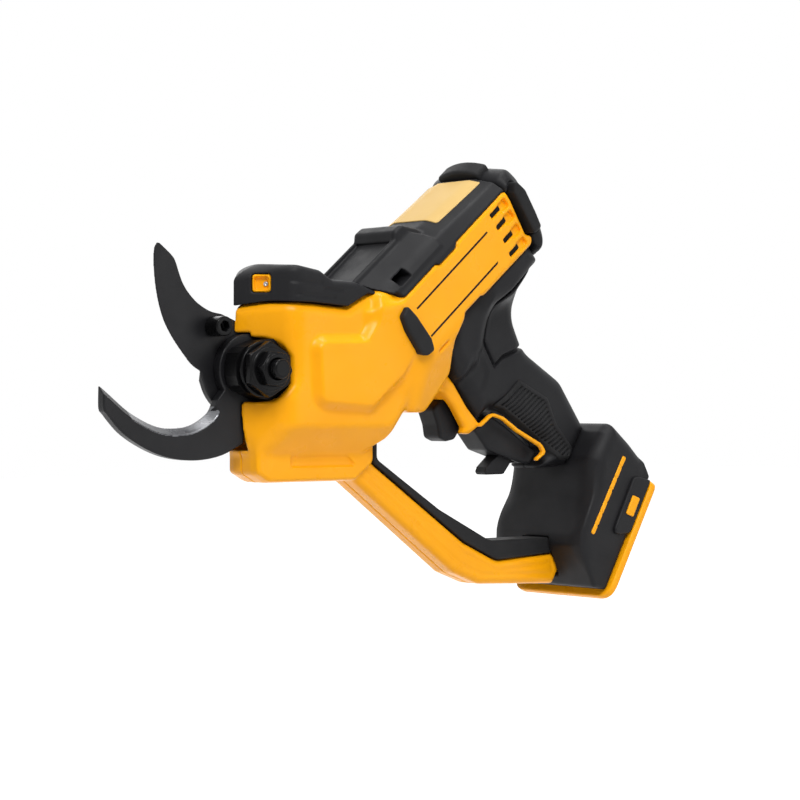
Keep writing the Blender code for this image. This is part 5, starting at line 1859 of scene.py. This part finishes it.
@dataclass(kw_only=True)
class Blade(Moulding):
    """Coated blade: a side outline of even thickness with a ground bevel along one edge."""

    outline: tuple[Point, ...]
    edge_run: tuple[Point, ...]
    y0: float
    y1: float
    bevel: float
    ground: int
    hub_clear: float = 27.0
    lit_bevel_from: float = -248.0
    lit_bevel_past: float = 0.4
    land: float = 0.5

    def build(self) -> bpy.types.Object:
        """Grow the blade and give its bevel the brighter ground finish, which on the faces that
        look up is also a painted highlight.

        Returns:
            The piece.
        """
        piece = super().build()
        piece.data.materials.append(GROUND_HIGHLIGHT.material())
        count = len(piece.data.polygons)
        middles = np.empty(count * 3, np.float32)
        normals = np.empty(count * 3, np.float32)
        piece.data.polygons.foreach_get("center", middles)
        piece.data.polygons.foreach_get("normal", normals)
        middles, normals = middles.reshape(-1, 3) / MM, normals.reshape(-1, 3)
        x, z = middles[:, 0], middles[:, 2]
        ground_and_lit_faces = line_distance(self.edge_run, x, z) < self.bevel + self.lit_bevel_past
        ground_and_lit_faces &= np.hypot(x - PIVOT[0], z - PIVOT[1]) > self.hub_clear
        ground_and_lit_faces &= x > self.lit_bevel_from
        # Only faces that slant towards the ground side and look up: the ground steel is real, and
        # keeping it to faces that look up paints a highlight
        tilt = normals[:, 1] * self.ground
        ground_and_lit_faces &= (tilt > -0.2) & (tilt < 0.97) & (normals[:, 2] > -0.2)
        piece.data.polygons.foreach_set("material_index", ground_and_lit_faces.astype(np.int32))
        return piece

    @staticmethod
    def hub(radius: float, first: float, last: float, count: int) -> tuple[Point, ...]:
        """Arc round the pivot.

        Args:
            radius: Its radius.
            first: Angle of its first point in degrees.
            last: Angle of its last point.
            count: How many points it has.

        Returns:
            The points.
        """
        angles = np.radians(np.linspace(first, last, count))
        return tuple(
            (PIVOT[0] + radius * math.cos(a), PIVOT[1] + radius * math.sin(a)) for a in angles
        )

    @classmethod
    def cutting(cls) -> "Blade":
        """Upper blade, ground on the far side.

        Returns:
            The blade.
        """
        edge = curve((
            (-230.1, 77.0), (-231.8, 73.1), (-231.8, 63.5), (-230.1, 51.5), (-226.7, 40.5),
            (-221.5, 31.5), (-214.5, 22.8), (-209.9, 18.0), (-205.2, 15.1),
        ))
        back = curve((
            (-192.2, 43.2), (-199.3, 44.6), (-206.4, 48.3), (-211.6, 53.0), (-215.1, 57.8),
            (-217.4, 63.0), (-219.2, 67.8), (-221.5, 71.1), (-228.4, 76.6),
        ))
        box = FieldBox((-234.0, -0.6, -10.0), (-152.0, 5.0, 79.0), step=0.42)
        return cls(
            "upper_blade", "cutting_blade", COATED, "coated_steel", box, body="cutting_jaw",
            outline=edge + cls.hub(24.0, first=205.0, last=400.0, count=36) + back, edge_run=edge,
            y0=0.15, y1=4.15, bevel=5.0, ground=1,
        )

    @classmethod
    def counter(cls) -> "Blade":
        """Hooked lower blade, ground on the near side.

        Returns:
            The blade.
        """
        outer = curve((
            (-183.7, -20.6), (-195.6, -25.9), (-207.4, -28.1), (-219.0, -28.0), (-230.5, -25.9),
            (-241.9, -21.4), (-253.1, -14.6), (-261.4, -6.1), (-263.6, -2.8), (-263.6, 7.6),
        ))
        inner = curve((
            (-263.0, 7.6), (-257.5, 3.4), (-247.5, -4.2), (-236.2, -10.0), (-227.7, -12.4),
            (-219.0, -12.5), (-213.2, -11.6), (-207.4, -9.2), (-201.5, -4.8), (-198.6, 1.0),
        ))
        box = FieldBox((-266.0, -6.4, -31.0), (-156.0, 0.6, 40.0), step=0.42)
        return cls(
            "lower_blade", "counter_blade", COATED, "coated_steel", box,
            outline=outer + inner + cls.hub(17.6, first=215.0, last=-90.0, count=40),
            edge_run=inner[:-6], y0=-5.55, y1=-0.15, bevel=3.4, ground=-1,
        )

    def field(self, x: Array, y: Array, z: Array) -> Array:
        """Distance to the blade: carried outline cut by a bevel that rises from the edge.

        Args:
            x, y, z: Grids of place.

        Returns:
            Distance, below zero inside.
        """
        middle, half = (self.y0 + self.y1) / 2.0, (self.y1 - self.y0) / 2.0
        body = slab(np.array(self.outline), x, y - middle, z, half, rim=0.35)
        run = line_distance(self.edge_run, x, z)
        face = (y - middle) * self.ground
        slope = (half - self.land / 2.0) * 2.0 / self.bevel
        cut = (face + half - self.land - run * slope) / math.hypot(1.0, slope)
        return every(body, cut)


@dataclass(kw_only=True)
class PivotRing(Moulding):
    """Flange washer on the pivot: a turned ring with rounded rims."""

    radius: float
    y0: float
    y1: float
    bore: float = 5.2
    rim: float = 0.7

    @classmethod
    def at(
        cls, name: str, node: str, radius: float, y0: float, y1: float, **more: float
    ) -> "PivotRing":
        """A ring in a box that fits it.

        Args:
            name: Name of the piece.
            node: Node that it stands for.
            radius: Its radius.
            y0: Place of its outer face.
            y1: Place of its inner face.
            more: Other fields.

        Returns:
            The ring.
        """
        margin, reach = 1.0, radius + 1.5
        box = FieldBox(
            (PIVOT[0] - reach, y0 - margin, PIVOT[1] - reach),
            (PIVOT[0] + reach, y1 + margin, PIVOT[1] + reach),
            step=0.33,
        )
        return cls(
            name, node, OXIDE, "black_oxide", box, radius=radius, y0=y0, y1=y1, **more
        )

    def turned(self, dx: Array, dy: Array, dz: Array, half: float) -> Array:
        """Ring before it is bored: a rounded disc.

        Args:
            dx, dy, dz: Grids of the offset from its middle.
            half: Half of its height.

        Returns:
            Distance to the disc.
        """
        return carried(np.sqrt(dx * dx + dz * dz) - self.radius, dy, half, self.rim)

    def field(self, x: Array, y: Array, z: Array) -> Array:
        """Distance to the bored piece.

        Args:
            x, y, z: Grids of place.

        Returns:
            Distance, below zero inside.
        """
        dx, dz = x - PIVOT[0], z - PIVOT[1]
        middle, half = (self.y0 + self.y1) / 2.0, (self.y1 - self.y0) / 2.0
        body = self.turned(dx, y - middle, dz, half)
        return without(body, np.sqrt(dx * dx + dz * dz) - self.bore, edge=0.5)


@dataclass(kw_only=True)
class PivotNut(PivotRing):
    """Six-sided nut on the pivot, with a low round collar on each face."""

    turn: float = 0.0
    collar: float = 0.78
    cone: float = 0.90
    cone_slope: float = 1.7
    cone_length: float = 1.97
    collar_rise: float = 0.5

    def turned(self, dx: Array, dy: Array, dz: Array, half: float) -> Array:
        """Nut before it is bored: a hexagon cut back by a cone at each end.

        Args:
            dx, dy, dz: Grids of the offset from its middle.
            half: Half of its height.

        Returns:
            Distance to the nut.
        """
        r = np.sqrt(dx * dx + dz * dz)
        flat = hexagon(dx, dz, self.turn) - self.radius * math.cos(math.pi / 6)
        rise = (np.abs(dy) - half) * self.cone_slope
        cone = (r - self.radius * self.cone + rise) / self.cone_length
        body = common(carried(flat, dy, half, rim=0.25), cone, edge=0.3)
        collar = carried(r - self.radius * self.collar, dy, half + self.collar_rise, rim=0.4)
        return joined(body, collar, fillet=0.2)


@dataclass
class Pinstripes(Sided):
    """Two plain dark lines along a motor panel."""

    name: str = "pinstripes"
    node: str = ""
    finish: Finish = INNER
    slot: str = "dark_plastic"
    box: FieldBox = FieldBox((-100.0, 30.4, 30.0), (-40.0, 32.6, 92.0), step=0.3)
    half_length: float = 31.3
    half_width: float = 0.62
    half_depth: float = 0.5
    middle: float = 31.2

    # Middle of each line along and across the motor shaft
    MIDDLES = ((67.9, 9.3), (66.0, -7.2))

    def field(self, x: Array, y: Array, z: Array) -> Array:
        """Distance to the lines, each a thin rounded bar let into the panel.

        Args:
            x, y, z: Grids of place.

        Returns:
            Distance, below zero inside.
        """
        q, e = MOTOR.split(x, z)
        deep = (self.out(y) - self.middle, self.half_depth)
        return np.minimum.reduce([
            block((q - a, self.half_length), (e - b, self.half_width), deep, edge=0.15)
            for a, b in self.MIDDLES
        ])


@dataclass
class BladeScrew(Moulding):
    """Socket screw that ties the cutting blade to its gear sector."""

    name: str = "tie_screw"
    node: str = "blade_screw"
    finish: Finish = OXIDE
    slot: str = "black_oxide"
    box: FieldBox = FieldBox((-204.5, -12.0, 30.5), (-191.5, 11.0, 43.5), step=0.28)
    body: str = "cutting_jaw"
    x: float = -198.0
    z: float = 36.9
    head_radius: float = 4.95
    head_middle: float = -5.55
    head_half: float = 5.4
    socket_half: float = 2.4
    socket_floor: float = -5.8
    shank_radius: float = 3.0
    shank_middle: float = 2.0
    shank_half: float = 8.0

    def field(self, x: Array, y: Array, z: Array) -> Array:
        """Distance to a round head with a six-sided socket, on a plain shank.

        Args:
            x, y, z: Grids of place.

        Returns:
            Distance, below zero inside.
        """
        dx, dz = x - self.x, z - self.z
        r = np.sqrt(dx * dx + dz * dz)
        head = carried(r - self.head_radius, y - self.head_middle, self.head_half, rim=0.8)
        socket = every(hexagon(dx, dz, turn=0.3) - self.socket_half, y - self.socket_floor)
        shank = carried(r - self.shank_radius, y - self.shank_middle, self.shank_half, rim=0.5)
        return np.minimum(without(head, socket, edge=0.4), shank)


@dataclass
class PivotBolt(Moulding):
    """Pivot bolt with a fine thread at its free end and a six-sided head on the far side."""

    name: str = "hinge_bolt"
    node: str = "pivot_bolt"
    finish: Finish = OXIDE
    slot: str = "black_oxide"
    box: FieldBox = FieldBox((-191.0, -37.0, 5.0), (-169.0, 23.0, 27.0), step=0.33)
    radius: float = 4.9
    thread_from: float = -29.2
    thread_pitch: float = 1.25
    thread_depth: float = 0.22
    shank_middle: float = -9.0
    shank_half: float = 24.9
    head_flats: float = 8.4
    head_middle: float = 18.7
    head_half: float = 3.2
    cone_radius: float = 9.0
    cone_middle: float = 20.0
    cone_slope: float = 1.2
    cone_length: float = 1.56

    def field(self, x: Array, y: Array, z: Array) -> Array:
        """Distance to the shank, less thread grooves, joined to the head.

        Args:
            x, y, z: Grids of place.

        Returns:
            Distance, below zero inside.
        """
        dx, dz = x - PIVOT[0], z - PIVOT[1]
        r = np.sqrt(dx * dx + dz * dz)
        wave = 0.5 + 0.5 * np.cos(2.0 * np.pi * y / self.thread_pitch)
        thread = np.where(y < self.thread_from, self.thread_depth * wave, 0.0)
        shank = carried(r - self.radius + thread, y - self.shank_middle, self.shank_half, rim=1.1)
        flat = hexagon(dx, dz, turn=0.2) - self.head_flats
        head = carried(flat, y - self.head_middle, self.head_half, rim=0.5)
        rise = (y - self.cone_middle) * self.cone_slope
        cone = (r - self.cone_radius + rise) / self.cone_length
        return np.minimum(shank, common(head, cone, edge=0.3))


@dataclass(kw_only=True)
class FootTrim(Sided):
    """Raised piece on a flank of the battery foot: its outline lies along the sole."""

    outline: tuple[Corner, ...]
    reach: float
    rim: float
    notches: int = 0
    root: float = 35.2
    first_notch: float = -45.0
    notch_pitch: float = 7.2

    @classmethod
    def at(
        cls, side: Side, name: str, node: str, finish: Finish, slot: str,
        outline: tuple[Corner, ...], **more: float,
    ) -> "FootTrim":
        """One piece in a box that fits its outline.

        Args:
            side: Side of the tool.
            name: Name of the piece, less its side.
            node: Node that it stands for, less its side.
            finish: Its finish.
            slot: Its material slot.
            outline: Corners along the sole and towards it.
            more: Other fields.

        Returns:
            The piece.
        """
        margin = 1.5
        places = np.array([sole(u, v) for u, v, _ in outline])
        low, high = places.min(axis=0) - margin, places.max(axis=0) + margin
        box = FieldBox(
            (float(low[0]), 34.0, float(low[1])), (float(high[0]), 40.0, float(high[1])), step=0.3
        )
        return cls(name, node, finish, slot, box, side=side, outline=outline, **more)

    @classmethod
    def of(cls, side: Side) -> list["FootTrim"]:
        """Yellow strip, black hook boss and yellow insert on one flank.

        Args:
            side: Side of the tool.

        Returns:
            The three pieces.
        """
        strip = (
            (-50.5, 53.4, 1.2), (-3.0, 54.4, 1.2), (-3.0, 57.0, 1.2), (-50.5, 56.0, 1.2),
        )
        boss = ((-45.0, 67.0, 6.0), (-9.0, 66.4, 5.0), (-5.4, 78.5, 1.0), (-38.0, 78.5, 5.0))
        insert = (
            (-30.4, 69.8, 0.9), (-19.2, 69.6, 0.9), (-18.4, 75.0, 0.9), (-29.6, 75.2, 0.9),
        )
        return [
            cls.at(side, "flank_strip", "accent_strip", YELLOW, "yellow_plastic", strip,
                   reach=36.5, rim=0.3, notches=6),
            cls.at(side, "flank_boss", "hook_boss", BLACK, "black_plastic", boss,
                   reach=38.0, rim=1.2),
            cls.at(side, "flank_insert", "hook_insert", YELLOW, "yellow_plastic", insert,
                   reach=38.9, rim=0.5),
        ]

    def field(self, x: Array, y: Array, z: Array) -> Array:
        """Distance to the raised piece; a strip has even notches across it.

        Args:
            x, y, z: Grids of place.

        Returns:
            Distance, below zero inside.
        """
        out = self.out(y)
        u, up = FOOT.split(x, z)
        flat = beyond(rounded(self.outline, steps=5), u, -up)
        body = carried(flat, out - CARRY_FROM, self.reach - CARRY_FROM, self.rim)
        body = every(body, self.root - out)
        for k in range(self.notches):
            notch = np.abs(u - self.first_notch - self.notch_pitch * k)
            body = scored(body, notch, width=0.5, depth=0.25)
        return body


@dataclass
class FootBase(Moulding):
    """Yellow sole plate with the slide-in mouth for a battery."""

    name: str = "sole_plate"
    node: str = "foot_base"
    finish: Finish = YELLOW
    slot: str = "yellow_plastic"
    box: FieldBox = FieldBox((28.0, -40.0, -109.0), (74.0, 40.0, -40.0), step=0.6)
    middle: float = 81.1
    half: float = 2.1
    mouth_half: float = 24.0
    ledge_half: float = 28.0
    mouth_end: float = -66.0
    mouth_from: float = 60.0
    ledge_to: float = 81.0

    # Plan along the sole and across the tool
    PLAN = rounded([
        (-76.0, -38.5, 9.0), (-5.0, -38.5, 5.0), (-5.0, 38.5, 5.0), (-76.0, 38.5, 9.0),
    ])

    def field(self, x: Array, y: Array, z: Array) -> Array:
        """Distance to a rounded plate, less the mouth and the rail ledges.

        Args:
            x, y, z: Grids of place.

        Returns:
            Distance, below zero inside.
        """
        out = np.abs(y)
        u, up = FOOT.split(x, z)
        down = -up
        flat = beyond(self.PLAN, *np.broadcast_arrays(u, y))
        body = carried(flat, down - self.middle, self.half, rim=0.7)
        end = self.mouth_end - u
        mouth = every(out - self.mouth_half, end, self.mouth_from - down)
        body = without(body, mouth, edge=0.5)
        return without(body, every(out - self.ledge_half, end, down - self.ledge_to), edge=0.3)


# Surroundings


WHITE = (1.0, 1.0, 1.0, 1.0)
PAPER = (0.78, 0.78, 0.78, 1.0)


@dataclass
class Studio:
    """Camera at the photographed angle, soft lamps, pale floor and white surroundings."""

    azimuth: float = -39.0
    distance: float = 1.248
    lens: float = 108.0
    sensor: float = 36.0
    floor: float = -0.26
    floor_reach: float = 6.0
    floor_glow: float = 0.92
    soft_light: float = 0.18
    aim: tuple[float, float, float] = (-0.080, 0.0, 0.001)
    lamp_aim: tuple[float, float, float] = (-0.08, 0.0, 0.0)

    # Name, place in metres, length of side in metres and power in watts
    LAMPS = (
        ("key", (-0.75, -1.0, 1.15), 0.6, 20.0),
        ("fill", (0.75, -1.35, 0.3), 0.9, 4.0),
        ("top", (0.0, -0.1, 1.35), 0.7, 11.5),
        ("back", (0.5, 1.2, 0.8), 1.0, 5.0),
    )

    def build(self) -> None:
        """Camera, lamps, world and floor."""
        turn = math.radians(self.azimuth)
        back = Vector((math.sin(turn), -math.cos(turn), 0.0))
        camera = bpy.data.objects.new("camera", bpy.data.cameras.new("camera"))
        bpy.context.scene.collection.objects.link(camera)
        camera.data.lens = self.lens
        camera.data.sensor_width = self.sensor
        camera.data.clip_end = 50.0
        camera.location = Vector(self.aim) + back * self.distance
        camera.rotation_euler = (-back).to_track_quat("-Z", "Y").to_euler()
        bpy.context.scene.camera = camera
        for lamp in self.LAMPS:
            self.lamp(*lamp)
        self.world()
        self.ground()

    def lamp(self, name: str, place: tuple[float, float, float], size: float, watts: float) -> None:
        """Square soft lamp that looks at the tool.

        Args:
            name: Name of the lamp.
            place: Where it stands, in metres.
            size: Length of its side in metres.
            watts: Its power.
        """
        data = bpy.data.lights.new(name, "AREA")
        data.size = size
        data.energy = watts
        lamp = bpy.data.objects.new(name, data)
        bpy.context.scene.collection.objects.link(lamp)
        lamp.location = place
        way = Vector(self.lamp_aim) - Vector(place)
        lamp.rotation_euler = way.to_track_quat("-Z", "Y").to_euler()

    def seen(self, tree: bpy.types.NodeTree) -> bpy.types.NodeSocket:
        """Socket that is one for rays that see the surroundings: camera, mirror and glass rays.

        Args:
            tree: Node tree that the socket is made in.

        Returns:
            The socket.
        """
        path = tree.nodes.new("ShaderNodeLightPath")
        total = path.outputs["Is Camera Ray"]
        for name in ("Is Glossy Ray", "Is Transmission Ray"):
            larger = tree.nodes.new("ShaderNodeMath")
            larger.operation = "MAXIMUM"
            tree.links.new(total, larger.inputs[0])
            tree.links.new(path.outputs[name], larger.inputs[1])
            total = larger.outputs[0]
        return total

    def world(self) -> None:
        """White surroundings for seeing rays and a soft grey light for the rest."""
        world = bpy.data.worlds.new("surroundings")
        bpy.context.scene.world = world
        world.use_nodes = True
        tree = world.node_tree
        soft = setup(tree.nodes["Background"], Color=WHITE, Strength=self.soft_light)
        white = setup(tree.nodes.new("ShaderNodeBackground"), Color=WHITE, Strength=1.0)
        mix = tree.nodes.new("ShaderNodeMixShader")
        tree.links.new(self.seen(tree), mix.inputs["Fac"])
        tree.links.new(soft.outputs["Background"], mix.inputs[1])
        tree.links.new(white.outputs["Background"], mix.inputs[2])
        tree.links.new(mix.outputs["Shader"], tree.nodes["World Output"].inputs["Surface"])

    def ground(self) -> None:
        """Pale floor below the held tool, that glows for seeing rays."""
        corners = np.array([(-1, -1), (1, -1), (1, 1), (-1, 1)]) * self.floor_reach / MM
        points = np.column_stack((corners, np.full(4, self.floor / MM)))
        ground = mesh_piece("floor", points, np.array([[0, 1, 2, 3]]), smooth=False)
        paper = bpy.data.materials.new("white_paper")
        paper.use_nodes = True
        tree = paper.node_tree
        shader = tree.nodes["Principled BSDF"]
        setup(shader, Base_Color=PAPER, Roughness=0.9, Emission_Color=WHITE)
        lift = tree.nodes.new("ShaderNodeMath")
        lift.operation = "MULTIPLY"
        lift.inputs[1].default_value = self.floor_glow
        tree.links.new(self.seen(tree), lift.inputs[0])
        tree.links.new(lift.outputs[0], shader.inputs["Emission Strength"])
        ground.data.materials.append(paper)


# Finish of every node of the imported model, also where a moulding stands for it
PLAIN_NODES = {
    YELLOW: (
        "left_housing", "right_housing", "foot_base", "left_accent_strip", "right_accent_strip",
        "left_hook_insert", "right_hook_insert",
    ),
    BLACK: (
        "nose_cap", "motor_cover", "rear_cap", "left_grip", "right_grip", "foot_housing",
        "left_hook_boss", "right_hook_boss", "upper_trigger", "lower_trigger", "lock_catch",
    ),
    RUBBER: (
        "top_bumper", "left_front_bumper", "right_front_bumper", "left_rear_bumper",
        "right_rear_bumper", "left_grip_panel", "right_grip_panel", "guard_lining",
    ),
    COATED: ("cutting_blade", "counter_blade"),
    OXIDE: (
        "blade_screw", "pivot_bolt", "pivot_washer", "pivot_nut", "lock_nut", "case_screw_1",
        "case_screw_2", "case_screw_3", "case_screw_4",
    ),
    STEEL: ("output_pinion", "motor_can"),
    CARRIER: ("gear_case", "side_plate", "sector_gear"),
    ALLOY: ("reduction_stage",),
    INNER: ("terminal_block", "switch_block", "motor_fan"),
    BOARD: ("control_board",),
}


def main() -> None:
    """Build every sub-assembly in order and log each piece."""
    logging.basicConfig(level=logging.INFO, format="%(message)s")
    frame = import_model()
    bpy.context.scene.view_settings.view_transform = "Standard"
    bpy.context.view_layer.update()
    for finish, names in PLAIN_NODES.items():
        for name in names:
            finish.dress(frame["nodes"][name])
    Studio().build()
    pieces: list[Moulding] = [
        NoseCap(), Window(), WindowScrew(), MotorCover(), Sticker(), RearCap(), CrownBumper(),
        Foot(), Lining(), *Trigger.pair(), Catch(), Blade.cutting(), Blade.counter(),
        BladeScrew(), PivotBolt(),
        PivotRing.at("flange_ring", "pivot_washer", radius=13.9, y0=-18.7, y1=-16.1),
        PivotNut.at("adjusting_nut", "pivot_nut", radius=13.9, y0=-23.9, y1=-19.0),
        PivotNut.at("locking_nut", "lock_nut", radius=9.4, y0=-29.4, y1=-24.2, turn=0.42),
        FootBase(),
    ]
    on_each_side = (Housing, Grip, GripPanel, FrontBumper, RearBumper, Pinstripes, Vents)
    for side in Side:
        pieces += [kind(side=side) for kind in on_each_side]
        pieces += FootTrim.of(side)
    for moulding in pieces:
        piece = moulding.build()
        LOG.info("%s: %d faces", piece.name, len(piece.data.polygons))


if __name__ == "__main__":
    main()
